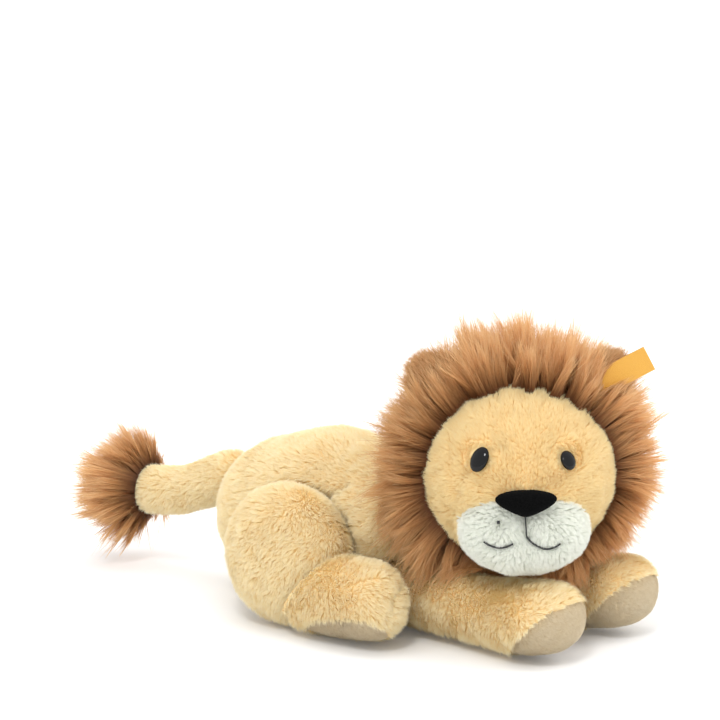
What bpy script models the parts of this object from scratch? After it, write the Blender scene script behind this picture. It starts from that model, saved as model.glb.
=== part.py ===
"""A plush lion that lies on its belly and looks over its right front leg.

Metres, +Z up. The lion points along -Y, its left side is +X, and the origin is on the
floor under the middle of the belly. Every stuffed piece starts as one plump form. Its
cover is that form with a cloth wall, and its filling is the same form drawn in.
"""
import math

import bmesh
import bpy
from mathutils import Matrix, Vector

# Cloth, seams and cuts
COVER_WALL = 0.0025
SEAM_GAP = 0.0003
FILL_GAP = 0.0012
SEAT_GAP = 0.0006
SWING_GAP = 0.0008
SWEEP_STEPS = 5
FLOOR_CUT = 0.0005
CUT_OVERRUN = 0.012
MERGE_REACH = 0.00003

# Torso
TORSO_WIDTH = 0.118
TORSO_HEIGHT = 0.1135
TORSO_AHEAD = 0.105
TORSO_BEHIND = 0.088
RUMP_DEPTH = 0.036
CHEST_DEPTH = 0.012
TORSO_SIDES = 18
TORSO_FILLING_SIDES = 12
TORSO_STEPS = 2
# along from the front, half width, half height and middle height
TORSO_SHARES = (
    (0.000, 0.66, 0.54, 0.680),
    (0.155, 0.75, 0.55, 0.685),
    (0.295, 0.88, 0.79, 0.590),
    (0.470, 0.96, 0.98, 0.490),
    (0.640, 1.00, 1.00, 0.500),
    (0.8135, 0.93, 0.81, 0.495),
)

# Head, seen from its own upright axis with the face along -Y
HEAD_RADIUS = 0.059
HEAD_HALF_HEIGHT = 0.054
HEAD_AHEAD = 0.1315
HEAD_LEFT = -0.005
HEAD_LIFT = 0.107
HEAD_TURN = math.radians(-50.5)
HEAD_SWING = math.radians(18)
HEAD_SEGMENTS = 20
HEAD_RINGS = 12
SNOUT_RISE = 0.010
SNOUT_HALF_WIDTH = 0.026
SNOUT_HALF_HEIGHT = 0.030
SNOUT_DROP = 0.008
NECK_OPENING_RADIUS = 0.020
NECK_OPENING_AHEAD = 0.0745
NECK_OPENING_LIFT = 0.075

MUZZLE_HALF_WIDTH = 0.0405
MUZZLE_HALF_DEPTH = 0.029
MUZZLE_HALF_HEIGHT = 0.0270
MUZZLE_SINK = 0.015
MUZZLE_AHEAD = HEAD_RADIUS - MUZZLE_SINK
MUZZLE_DROP = 0.0262
MUZZLE_CLEFT = 0.0025
MUZZLE_CLEFT_HALF_WIDTH = 0.008
MUZZLE_SEGMENTS = 20
MUZZLE_RINGS = 12

NOSE_WIDTH = 0.0465
NOSE_HEIGHT = 0.0172
NOSE_DEPTH = 0.016
NOSE_STAND_OUT = 0.0095
NOSE_AHEAD = HEAD_RADIUS + NOSE_STAND_OUT
NOSE_DROP = 0.0028
NOSE_TAPER = 0.72
NOSE_SEGMENTS = 16
NOSE_RINGS = 8

EYE_DIAMETER = 0.015
EYE_DOME = 0.0042
EYE_RIM = 0.0012
EYE_SHANK_DIAMETER = 0.0042
EYE_SHANK_LENGTH = 0.013
EYE_SIDE_SHARE = 0.468
EYE_RISE_SHARE = 0.341
EYE_SIDE = HEAD_RADIUS * EYE_SIDE_SHARE
EYE_RISE = HEAD_HALF_HEIGHT * EYE_RISE_SHARE
EYE_STEPS = 16
EYE_DOME_STEPS = 5
WASHER_DIAMETER = 0.015
WASHER_THICKNESS = 0.0018
WASHER_PLAY = 0.0011
SHANK_CLEARANCE = 0.0003

MANE_DEPTH_BESIDE = 0.028
MANE_DEPTH_ABOVE = 0.037
MANE_DEPTH_BEHIND = 0.023
MANE_HALF_WIDTH = HEAD_RADIUS + MANE_DEPTH_BESIDE
MANE_HALF_HEIGHT = HEAD_HALF_HEIGHT + MANE_DEPTH_ABOVE
MANE_REAR = HEAD_RADIUS + MANE_DEPTH_BEHIND
MANE_FRONT = 0.0120
MANE_RISE = 0.002
MANE_HEM_HEIGHT = 0.0535
MANE_NAPE_HEIGHT = 0.078
MANE_NAPE_AHEAD = 0.010
MANE_LOCKS = 13
MANE_LOCK_DEPTH = 0.004
MANE_SIDES_PER_LOCK = 2
MANE_STEPS = 2
# along from the rear, width, height
MANE_SHARES = (
    (0.38, 0.84, 0.84),
    (0.64, 0.97, 0.97),
    (0.86, 1.00, 1.00),
)

EAR_WIDTH = 0.031
EAR_LENGTH = 0.044
EAR_THICKNESS = 0.010
EAR_STAND_OUT = 0.011
EAR_REACH = HEAD_RADIUS + EAR_STAND_OUT
EAR_TILT = math.radians(48)
EAR_BACK = 0.002
EAR_SEGMENTS = 12
EAR_RINGS = 7

TAG_WIDTH = 0.016
TAG_LENGTH = 0.036
TAG_PLY = 0.0005
TAG_FOLD_GAP = 0.0006
TAG_STAND_BESIDE = 0.0050
TAG_STAND_ABOVE = 0.0095
TAG_SIDE = HEAD_RADIUS + TAG_STAND_BESIDE
TAG_RISE = HEAD_HALF_HEIGHT + TAG_STAND_ABOVE
TAG_TILT = math.radians(27)

# Front legs, as the right one
FRONT_ROOT_SIDE = 0.0245
FRONT_ROOT_AHEAD = 0.055
FRONT_ROOT_LIFT = 0.0245
FRONT_ROOT_RADIUS = 0.0232
FRONT_PAW_SIDE = 0.0405
FRONT_PAW_AHEAD = 0.177
FRONT_PAW_LIFT = 0.0278
FRONT_PAW_HALF_WIDTH = 0.0300
FRONT_PAW_HALF_HEIGHT = 0.0247
FRONT_PAW_CAP = 0.026
FRONT_LEG_SWING = math.radians(10)
FRONT_LEG_SIDES = 18
FRONT_LEG_STEPS = 2
# along from the root, share of the root radius across and upright, share of the lift
FRONT_LEG_SHARES = (
    (0.28, 0.97, 0.97, 0.97),
    (0.62, 0.97, 0.97, 0.96),
    (0.82, 1.12, 1.08, 1.00),
)
FRONT_SOLE_TILT = math.radians(47.5)
FRONT_SOLE_HEEL_AHEAD = 0.151

# Hind legs, as the right one
HIND_HINGE_SIDE = 0.056
HIND_HINGE_BEHIND = 0.046
THIGH_SIDE = 0.062
THIGH_AHEAD = -0.002
THIGH_HALF_WIDTH = 0.031
THIGH_HALF_LENGTH = 0.046
THIGH_HALF_HEIGHT = 0.046
THIGH_SEGMENTS = 18
THIGH_RINGS = 11
FOOT_HEEL_SIDE = 0.070
FOOT_HEEL_AHEAD = 0.018
FOOT_TOE_SIDE = 0.078
FOOT_TOE_AHEAD = 0.075
FOOT_TOE_RISE = 0.0035
FOOT_HALF_WIDTH = 0.0245
FOOT_HALF_HEIGHT = 0.0280
FOOT_HEEL_CAP = 0.016
FOOT_TOE_CAP = 0.020
FOOT_SIDES = 14
FOOT_STEPS = 2
# along from the heel, share of the half width, of the half height and of the toe's rise
FOOT_SHARES = (
    (0.00, 0.92, 0.90, 0.00),
    (0.40, 1.00, 1.00, 0.00),
    (0.75, 1.01, 1.00, 0.50),
    (1.00, 0.97, 0.96, 1.00),
)
HIND_SOLE_ROLL = math.radians(37)
HIND_SOLE_PITCH = math.radians(5)
HIND_SOLE_SIDE = 0.090
HIND_SOLE_AHEAD = 0.034
HIND_SOLE_LIFT = 0.0130

# Tail and its tuft
TAIL_ROOT_LIFT = 0.070
TAIL_STAND_OFF = 0.0065
TAIL_ROOT_RADIUS = 0.0172
TAIL_RADIUS = 0.0162
TAIL_END_BEHIND = 0.158
TAIL_END_LIFT = 0.051
TAIL_SIDES = 18
TAIL_STEPS = 2
# along from the root, share of the drop from root to end
TAIL_SHARES = (
    (0.30, 0.40),
    (0.60, 0.82),
)
TUFT_START_BEHIND = 0.1625
TUFT_END_BEHIND = 0.220
TUFT_HALF_WIDTH = 0.0325
TUFT_BASE_RADIUS = 0.0195
TUFT_END_LIFT = 0.0535
TUFT_END_CAP = 0.020
TUFT_LOCKS = 9
TUFT_LOCK_DEPTH = 0.0018
TUFT_SIDES_PER_LOCK = 2
TUFT_STEPS = 2
# along from the seam, share of the half width
TUFT_SHARES = (
    (0.15, 0.84),
    (0.38, 1.00),
    (0.66, 0.98),
)

CAP_RINGS = 4
FILLING_SIDES = 10
FILLING_RINGS = 8
FILL_OPENING_RADIUS = 0.009

TAN = (0.83, 0.58, 0.28)
BROWN = (0.47, 0.24, 0.10)
WHITE = (0.86, 0.87, 0.85)
CREAM = (0.85, 0.73, 0.50)
BLACK = (0.012, 0.011, 0.012)
YELLOW = (0.95, 0.60, 0.10)
FIBRE = (0.90, 0.90, 0.88)


def clear_scene():
    for obj in list(bpy.data.objects):
        bpy.data.objects.remove(obj, do_unlink=True)


def make_collection(name):
    collection = bpy.data.collections.new(name)
    bpy.context.scene.collection.children.link(collection)
    return collection


def make_material(name, colour, roughness):
    material = bpy.data.materials.new(name)
    material.use_nodes = True
    shader = material.node_tree.nodes["Principled BSDF"]
    shader.inputs["Base Color"].default_value = (*colour, 1)
    shader.inputs["Roughness"].default_value = roughness
    material.diffuse_color = (*colour, 1)
    return material


clear_scene()
LION = make_collection("plush_lion")
CUTTERS = make_collection("cutters")
PLUSH = make_material("tan_plush", TAN, 0.95)
MANE_PLUSH = make_material("mane_plush", BROWN, 0.9)
MUZZLE_PLUSH = make_material("white_plush", WHITE, 0.95)
SOLE_VELOUR = make_material("cream_velour", CREAM, 0.9)
NOSE_VELVET = make_material("black_velvet", BLACK, 0.8)
EYE_PLASTIC = make_material("eye_plastic", BLACK, 0.08)
WASHER_PLASTIC = make_material("washer_plastic", WHITE, 0.5)
RIBBON = make_material("ribbon", YELLOW, 0.7)
STUFFING = make_material("fibre_filling", FIBRE, 1.0)


def make_empty(name, place, turn, parent):
    empty = bpy.data.objects.new(name, None)
    LION.objects.link(empty)
    empty.location = place
    empty.rotation_euler = (0, 0, turn)
    empty.parent = parent
    return empty


def make_object(name, mesh, parent):
    """Put a mesh under a joint's empty. Its points are measured from that empty."""
    obj = bpy.data.objects.new(name, mesh)
    CUTTERS.objects.link(obj)
    obj.parent = parent
    obj.hide_render = True
    obj.display_type = "WIRE"
    return obj


def finish_piece(obj, material):
    """Move a piece from the cutters to the lion and give it its cloth."""
    CUTTERS.objects.unlink(obj)
    LION.objects.link(obj)
    obj.hide_render = False
    obj.display_type = "TEXTURED"
    obj.data.materials.clear()
    obj.data.materials.append(material)
    return obj


def copy_of(form, name):
    return make_object(name, form.data.copy(), form.parent)


def grow(obj, distance):
    """Move every point along its normal, out for a positive distance."""
    swell = obj.modifiers.new("grow", "DISPLACE")
    swell.mid_level = 0
    swell.strength = distance


def cut(obj, cutter, operation="DIFFERENCE"):
    knife = obj.modifiers.new("cut_" + cutter.name, "BOOLEAN")
    knife.operation = operation
    knife.solver = "EXACT"
    knife.object = cutter


def cloth_wall(obj, thickness):
    wall = obj.modifiers.new("cloth", "SOLIDIFY")
    wall.thickness = thickness
    wall.offset = -1


def swollen(form, gap):
    cutter = copy_of(form, form.name + "_room")
    grow(cutter, gap)
    return cutter


def swung_room(form, turn):
    """Room for a form that has turned about the upright axis of its joint."""
    room = copy_of(form, form.name + "_swung")
    room.data.transform(Matrix.Rotation(turn, 4, "Z"))
    grow(room, SWING_GAP)
    return room


def swept_hull(name, form, hinge, swing):
    """Room for a form that an upright hinge passes, from one end of its swing to the other."""
    place = Matrix.Translation(hinge)

    def build(working):
        for step in range(SWEEP_STEPS):
            share = step / (SWEEP_STEPS - 1) * 2 - 1
            turn = place @ Matrix.Rotation(swing * share, 4, "Z") @ place.inverted()
            for vert in form.data.vertices:
                working.verts.new(turn @ vert.co)
        hull = bmesh.ops.convex_hull(working, input=working.verts)
        inner = [item for item in hull["geom_interior"] if isinstance(item, bmesh.types.BMVert)]
        bmesh.ops.delete(working, geom=inner, context="VERTS")

    room = make_object(name, mesh_from(name, build), form.parent)
    grow(room, SWING_GAP)
    return room


def mesh_from(name, build):
    working = bmesh.new()
    build(working)
    bmesh.ops.recalc_face_normals(working, faces=working.faces)
    if working.calc_volume(signed=True) < 0:
        bmesh.ops.reverse_faces(working, faces=working.faces)
    mesh = bpy.data.meshes.new(name)
    working.to_mesh(mesh)
    working.free()
    mesh.shade_smooth()
    return mesh


def between(first, second, share):
    return first + (second - first) * share


def smooth_stations(stations, steps):
    """Put rings between the stations on a smooth curve through them."""
    smooth = []
    last = len(stations) - 1
    for index in range(last):
        before = stations[max(index - 1, 0)]
        start = stations[index]
        end = stations[index + 1]
        after = stations[min(index + 2, last)]
        for step in range(steps):
            share = step / steps
            ring = []
            for number in range(len(start)):
                leave = (end[number] - before[number]) / 2
                arrive = (after[number] - start[number]) / 2
                square = share * share
                cube = square * share
                ring.append(start[number] * (2 * cube - 3 * square + 1)
                            + leave * (cube - 2 * square + share)
                            + end[number] * (3 * square - 2 * cube)
                            + arrive * (cube - square))
            smooth.append(tuple(ring))
    smooth.append(stations[last])
    return smooth


def capped(rings, start_cap, end_cap):
    """Round both ends off with rings that close like half an ellipsoid."""
    head = []
    tail = []
    start_along = (rings[0][0] - rings[1][0]).normalized()
    end_along = (rings[-1][0] - rings[-2][0]).normalized()
    for number in range(1, CAP_RINGS):
        angle = math.pi / 2 * number / CAP_RINGS
        centre, wide, high = rings[0]
        head.insert(0, (centre + start_along * start_cap * math.sin(angle),
                        wide * math.cos(angle), high * math.cos(angle)))
        centre, wide, high = rings[-1]
        tail.append((centre + end_along * end_cap * math.sin(angle),
                     wide * math.cos(angle), high * math.cos(angle)))
    start_pole = rings[0][0] + start_along * start_cap
    end_pole = rings[-1][0] + end_along * end_cap
    return head + rings + tail, start_pole, end_pole


def stuffed_form(name, stations, steps, sides, caps, parent, locks=0, lock_depth=0):
    """Loft a plump closed form. A station is a middle, a half width and a half height."""
    rings = smooth_stations(stations, steps)
    rings, start_pole, end_pole = capped(rings, caps[0], caps[1])
    upright = Vector((0, 0, 1))

    def build(working):
        loops = []
        for number, (centre, wide, high) in enumerate(rings):
            before = rings[max(number - 1, 0)][0]
            after = rings[min(number + 1, len(rings) - 1)][0]
            along = (after - before).normalized()
            across = upright.cross(along).normalized()
            up = along.cross(across)
            loop = []
            for side in range(sides):
                angle = math.tau * side / sides
                wave = 1 + lock_depth / wide * math.cos(locks * angle) if locks else 1
                point = (centre + across * wide * wave * math.cos(angle)
                         + up * high * wave * math.sin(angle))
                loop.append(working.verts.new(point))
            loops.append(loop)
        first = working.verts.new(start_pole)
        last = working.verts.new(end_pole)
        for side in range(sides):
            beside = (side + 1) % sides
            working.faces.new((first, loops[0][side], loops[0][beside]))
            working.faces.new((last, loops[-1][beside], loops[-1][side]))
            for lower, upper in zip(loops, loops[1:]):
                working.faces.new((lower[side], lower[beside], upper[beside], upper[side]))

    return make_object(name, mesh_from(name, build), parent)


def ball_form(name, middle, half_sizes, segments, rings, parent, shape=None):
    """An ellipsoid with upright poles. A shape function may move its points."""
    def build(working):
        bmesh.ops.create_uvsphere(working, u_segments=segments, v_segments=rings, radius=1)
        for vert in working.verts:
            scaled = Vector((vert.co[axis] * half_sizes[axis] for axis in range(3)))
            vert.co = (shape(scaled) if shape else scaled) + middle

    return make_object(name, mesh_from(name, build), parent)


def block(name, middle, sizes, turn, parent):
    """A box. The turn is a 3x3 matrix about the middle."""
    def build(working):
        bmesh.ops.create_cube(working, size=1)
        for vert in working.verts:
            scaled = Vector((vert.co[axis] * sizes[axis] for axis in range(3)))
            vert.co = turn @ scaled + middle

    return make_object(name, mesh_from(name, build), parent)


def rod(name, start, end, radius, parent, segments=20):
    along = end - start

    def build(working):
        bmesh.ops.create_cone(working, cap_ends=True, segments=segments,
                              radius1=radius, radius2=radius, depth=along.length)
        turn = along.to_track_quat("Z", "Y").to_matrix()
        for vert in working.verts:
            vert.co = turn @ vert.co + (start + end) / 2

    return make_object(name, mesh_from(name, build), parent)


def floor_knife(parent, place):
    """A slab whose top is the floor. It flattens what would sink into it."""
    span = TORSO_AHEAD + TORSO_BEHIND + HEAD_AHEAD
    depth = CUT_OVERRUN
    return block("floor_knife", Vector((0, 0, -depth / 2)) - place,
                 (span * 2, span * 2, depth), Matrix.Identity(3), parent)


def make_torso_form(name, sides):
    length = TORSO_AHEAD + TORSO_BEHIND
    stations = []
    for along, wide, high, lift in TORSO_SHARES:
        stations.append((Vector((0, length * along - TORSO_AHEAD,
                                 TORSO_HEIGHT * lift - FLOOR_CUT)),
                         TORSO_WIDTH / 2 * wide, TORSO_HEIGHT / 2 * high))
    return stuffed_form(name, stations, TORSO_STEPS, sides,
                        (CHEST_DEPTH, RUMP_DEPTH), None)


def head_point(scaled):
    """Raise the snout on the front of the head's ellipsoid."""
    ahead = max(-scaled.y / HEAD_RADIUS, 0)
    aside = scaled.x / SNOUT_HALF_WIDTH
    rise = (scaled.z + SNOUT_DROP) / SNOUT_HALF_HEIGHT
    lift = SNOUT_RISE * ahead * math.exp(-aside * aside - rise * rise)
    return Vector((scaled.x, scaled.y - lift, scaled.z))


def face_place(aside, rise):
    """The face's surface point and outward direction at a place across and up."""
    def surface(across, up):
        round_part = 1 - (across / HEAD_RADIUS) ** 2 - (up / HEAD_HALF_HEIGHT) ** 2
        depth = HEAD_RADIUS * math.sqrt(round_part)
        return head_point(Vector((across, -depth, up)))

    step = SEAM_GAP
    middle = surface(aside, rise)
    along_x = surface(aside + step, rise) - middle
    along_z = surface(aside, rise + step) - middle
    outward = along_x.cross(along_z).normalized()
    return middle, outward


def muzzle_point(scaled):
    """Press a shallow cleft down the middle of the muzzle."""
    ahead = max(-scaled.y / MUZZLE_HALF_DEPTH, 0)
    aside = scaled.x / MUZZLE_CLEFT_HALF_WIDTH
    press = MUZZLE_CLEFT * ahead * math.exp(-aside * aside)
    return Vector((scaled.x, scaled.y + press, scaled.z))


def nose_point(scaled):
    """Draw the nose in towards its lower tip."""
    down = max((NOSE_HEIGHT / 2 - scaled.z) / NOSE_HEIGHT, 0)
    return Vector((scaled.x * (1 - NOSE_TAPER * down ** 1.5), scaled.y, scaled.z))


def turned_piece(name, profile, place, outward, parent):
    """Spin a closed profile of radius and height about the line that points outward."""
    def build(working):
        turn = outward.to_track_quat("Z", "Y").to_matrix()
        edge = [working.verts.new(Vector((radius, 0, height))) for radius, height in profile]
        edges = [working.edges.new(pair) for pair in zip(edge, edge[1:])]
        if profile[0][0] > 0:
            edges.append(working.edges.new((edge[-1], edge[0])))
        bmesh.ops.spin(working, geom=edge + edges, cent=(0, 0, 0), axis=(0, 0, 1),
                       angle=math.tau, steps=EYE_STEPS, use_merge=True)
        bmesh.ops.remove_doubles(working, verts=working.verts, dist=MERGE_REACH)
        for vert in working.verts:
            vert.co = turn @ vert.co + place

    return make_object(name, mesh_from(name, build), parent)


def eye_profile():
    """A domed disc with a rounded rim on a straight shank, from front to shank end."""
    radius = EYE_DIAMETER / 2
    shank = EYE_SHANK_DIAMETER / 2
    profile = []
    for step in range(EYE_DOME_STEPS + 1):
        angle = math.pi / 2 * step / EYE_DOME_STEPS
        profile.append((radius * math.sin(angle),
                        EYE_RIM + (EYE_DOME - EYE_RIM) * math.cos(angle)))
    profile.append((radius, 0))
    profile.append((shank, 0))
    profile.append((shank, -EYE_SHANK_LENGTH))
    profile.append((0, -EYE_SHANK_LENGTH))
    return profile


def washer_profile():
    outer = WASHER_DIAMETER / 2
    bore = EYE_SHANK_DIAMETER / 2 + SHANK_CLEARANCE
    return [(outer, 0), (outer, -WASHER_THICKNESS), (bore, -WASHER_THICKNESS), (bore, 0)]


def make_cover(form, name, material):
    cover = copy_of(form, name)
    cloth_wall(cover, COVER_WALL)
    return finish_piece(cover, material)


def make_filling(core, name):
    """The core is the piece's form with fewer sides, so it stays inside the cover."""
    core.name = name
    grow(core, -(COVER_WALL + FILL_GAP))
    return finish_piece(core, STUFFING)


def make_head(axis, torso_form):
    sizes = (HEAD_RADIUS, HEAD_RADIUS, HEAD_HALF_HEIGHT)
    form = ball_form("head_form", Vector((0, 0, 0)), sizes,
                     HEAD_SEGMENTS, HEAD_RINGS, axis, head_point)
    core = ball_form("head_core", Vector((0, 0, 0)), sizes,
                     FILLING_SIDES, FILLING_RINGS, axis, head_point)
    cover = make_cover(form, "head_cover", PLUSH)
    filling = make_filling(core, "head_filling")
    room = swollen(form, SEAT_GAP)

    torso_front = Vector((0, -NECK_OPENING_AHEAD, NECK_OPENING_LIFT))
    head_place = Vector((HEAD_LEFT, -HEAD_AHEAD, HEAD_LIFT))
    towards = Matrix.Rotation(-HEAD_TURN, 3, "Z") @ (torso_front - head_place)
    neck_hole = rod("neck_hole", towards.normalized() * (HEAD_HALF_HEIGHT - CUT_OVERRUN),
                    towards.normalized() * HEAD_RADIUS * 2, NECK_OPENING_RADIUS, axis)
    cut(cover, neck_hole)

    make_eyes(axis, cover, filling)
    muzzle = make_muzzle(axis, room)
    make_nose(axis, room, muzzle)
    ears = [make_ear(axis, room, side) for side in (-1, 1)]
    tag = make_tag(axis)
    make_mane(axis, room, ears, tag, torso_form)
    return form


def make_eyes(axis, cover, filling):
    for side, label in ((-1, "right"), (1, "left")):
        surface, outward = face_place(side * EYE_SIDE, EYE_RISE)
        seat = surface + outward * SEAM_GAP
        eye = turned_piece("eye_" + label, eye_profile(), seat, outward, axis)
        finish_piece(eye, EYE_PLASTIC)

        reach = WASHER_DIAMETER / 2
        dish = HEAD_HALF_HEIGHT - math.sqrt(HEAD_HALF_HEIGHT ** 2 - reach ** 2)
        back = surface - outward * (COVER_WALL + WASHER_PLAY + dish)
        washer = turned_piece("eye_washer_" + label, washer_profile(), back, outward, axis)
        finish_piece(washer, WASHER_PLASTIC)

        hole = rod("shank_hole_" + label, seat + outward * EYE_DOME,
                   seat - outward * EYE_SHANK_LENGTH,
                   EYE_SHANK_DIAMETER / 2 + SHANK_CLEARANCE, axis)
        cut(cover, hole)
        pocket = rod("washer_pocket_" + label, seat + outward * EYE_DOME,
                     back - outward * (WASHER_THICKNESS + SEAM_GAP),
                     WASHER_DIAMETER / 2 + SEAM_GAP, axis)
        cut(filling, pocket)
        shank_room = rod("shank_room_" + label, seat,
                         seat - outward * (EYE_SHANK_LENGTH + SEAM_GAP),
                         EYE_SHANK_DIAMETER / 2 + SHANK_CLEARANCE, axis)
        cut(filling, shank_room)


def make_muzzle(axis, head_room):
    muzzle = ball_form("muzzle", Vector((0, -MUZZLE_AHEAD, -MUZZLE_DROP)),
                       (MUZZLE_HALF_WIDTH, MUZZLE_HALF_DEPTH, MUZZLE_HALF_HEIGHT),
                       MUZZLE_SEGMENTS, MUZZLE_RINGS, axis, muzzle_point)
    room = swollen(muzzle, SEAM_GAP)
    cut(muzzle, head_room)
    finish_piece(muzzle, MUZZLE_PLUSH)
    return room


def make_nose(axis, head_room, muzzle_room):
    nose = ball_form("nose", Vector((0, -NOSE_AHEAD, -NOSE_DROP)),
                     (NOSE_WIDTH / 2, NOSE_DEPTH / 2, NOSE_HEIGHT / 2),
                     NOSE_SEGMENTS, NOSE_RINGS, axis, nose_point)
    cut(nose, head_room)
    cut(nose, muzzle_room)
    finish_piece(nose, NOSE_VELVET)


def make_ear(axis, head_room, side):
    """A flat lobe whose root is cut to the head. Its face looks ahead."""
    label = "left" if side > 0 else "right"
    lean = Matrix.Rotation(side * (math.pi / 2 - EAR_TILT), 3, "Y")
    middle = lean @ Vector((0, EAR_BACK, EAR_REACH))

    def shape(scaled):
        return lean @ scaled

    ear = ball_form("ear_" + label, middle,
                    (EAR_WIDTH / 2, EAR_THICKNESS / 2, EAR_LENGTH / 2),
                    EAR_SEGMENTS, EAR_RINGS, axis, shape)
    room = swollen(ear, SEAM_GAP)
    cut(ear, head_room)
    finish_piece(ear, MANE_PLUSH)
    return room


def make_tag(axis):
    """A ribbon folded in half, sewn to the front of the left ear."""
    thickness = TAG_PLY * 2 + TAG_FOLD_GAP
    turn = Matrix.Rotation(-TAG_TILT, 3, "Y")
    front = EAR_THICKNESS / 2 - EAR_BACK + SEAM_GAP + thickness / 2
    middle = Vector((TAG_SIDE, -front, TAG_RISE))
    tag = block("ear_tag", middle, (TAG_LENGTH, thickness, TAG_WIDTH), turn, axis)
    room = swollen(tag, SEAM_GAP)
    room.name = "tag_room"
    fold = block("tag_fold", middle - turn @ Vector((TAG_PLY, 0, 0)),
                 (TAG_LENGTH, TAG_FOLD_GAP, TAG_WIDTH * 2), turn, axis)
    cut(tag, fold)
    finish_piece(tag, RIBBON)
    return room


def make_mane(axis, head_room, ear_rooms, tag_room, torso_form):
    length = MANE_REAR + MANE_FRONT
    stations = []
    for along, wide, high in MANE_SHARES:
        stations.append((Vector((0, MANE_REAR - length * along, MANE_RISE)),
                         MANE_HALF_WIDTH * wide, MANE_HALF_HEIGHT * high))
    caps = (length * MANE_SHARES[0][0], length * (1 - MANE_SHARES[-1][0]))
    mane = stuffed_form("mane", stations, MANE_STEPS, MANE_LOCKS * MANE_SIDES_PER_LOCK,
                        caps, axis, MANE_LOCKS, MANE_LOCK_DEPTH)
    cut(mane, head_room)
    for room in ear_rooms:
        cut(mane, room)
    cut(mane, tag_room)
    hem = block("mane_hem", Vector((0, 0, MANE_HEM_HEIGHT - HEAD_LIFT - MANE_HALF_HEIGHT)),
                (MANE_HALF_WIDTH * 3, MANE_REAR * 3, MANE_HALF_HEIGHT * 2),
                Matrix.Identity(3), axis)
    cut(mane, hem)
    nape = block("mane_nape",
                 Vector((-MANE_HALF_WIDTH, MANE_REAR - MANE_NAPE_AHEAD,
                         MANE_NAPE_HEIGHT - HEAD_LIFT - MANE_HALF_HEIGHT)),
                 (MANE_HALF_WIDTH * 2, MANE_REAR * 2, MANE_HALF_HEIGHT * 2),
                 Matrix.Identity(3), axis)
    cut(mane, nape)
    torso_room = swept_hull("torso_sweep", torso_form,
                            Vector((HEAD_LEFT, -HEAD_AHEAD, HEAD_LIFT)), HEAD_SWING)
    cut(mane, torso_room)
    finish_piece(mane, MANE_PLUSH)


def make_front_leg(side, label):
    root = Vector((side * FRONT_ROOT_SIDE, -FRONT_ROOT_AHEAD, FRONT_ROOT_LIFT))
    axis = make_empty(label + "_front_leg_axis", root, 0, None)
    paw = Vector((side * FRONT_PAW_SIDE, -FRONT_PAW_AHEAD, FRONT_PAW_LIFT)) - root
    stations = [(Vector((0, 0, 0)), FRONT_ROOT_RADIUS, FRONT_ROOT_RADIUS)]
    for along, wide, high, lift in FRONT_LEG_SHARES:
        place = paw * along
        place.z = FRONT_ROOT_LIFT * (lift - 1)
        stations.append((place, FRONT_ROOT_RADIUS * wide, FRONT_ROOT_RADIUS * high))
    stations.append((paw, FRONT_PAW_HALF_WIDTH, FRONT_PAW_HALF_HEIGHT))
    caps = (FRONT_ROOT_RADIUS, FRONT_PAW_CAP)
    form = stuffed_form(label + "_front_leg_form", stations, FRONT_LEG_STEPS,
                        FRONT_LEG_SIDES, caps, axis)
    core = stuffed_form(label + "_front_leg_core", stations, FRONT_LEG_STEPS,
                        FILLING_SIDES, caps, axis)
    cover = make_cover(form, label + "_front_leg", PLUSH)
    filling = make_filling(core, label + "_front_leg_filling")
    floor = floor_knife(axis, root)
    opening = rod(label + "_front_opening", Vector((0, FRONT_ROOT_RADIUS / 2, 0)),
                  Vector((0, FRONT_ROOT_RADIUS * 2, 0)), FILL_OPENING_RADIUS, axis)
    cut(cover, floor)
    cut(filling, floor)
    cut(cover, opening)

    outward = Vector((0, -math.cos(FRONT_SOLE_TILT), -math.sin(FRONT_SOLE_TILT)))
    heel = Vector((paw.x, -FRONT_SOLE_HEEL_AHEAD, 0)) - Vector((0, root.y, root.z))
    make_sole(form, cover, label + "_front_sole", heel, outward, axis, floor)
    return form


def make_sole(form, cover, name, through, outward, axis, floor):
    """The cover's wall beyond a slanted plane becomes the sole, a seam gap away."""
    size = THIGH_HALF_LENGTH * 4
    turn = outward.to_track_quat("Z", "Y").to_matrix()
    region = block(name + "_region", through + outward * size / 2, (size, size, size),
                   turn, axis)
    seam = block(name + "_seam", through + outward * (size / 2 - SEAM_GAP),
                 (size, size, size), turn, axis)
    sole = make_cover(form, name, SOLE_VELOUR)
    cut(sole, floor)
    cut(sole, region, "INTERSECT")
    cut(cover, seam)


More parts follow.
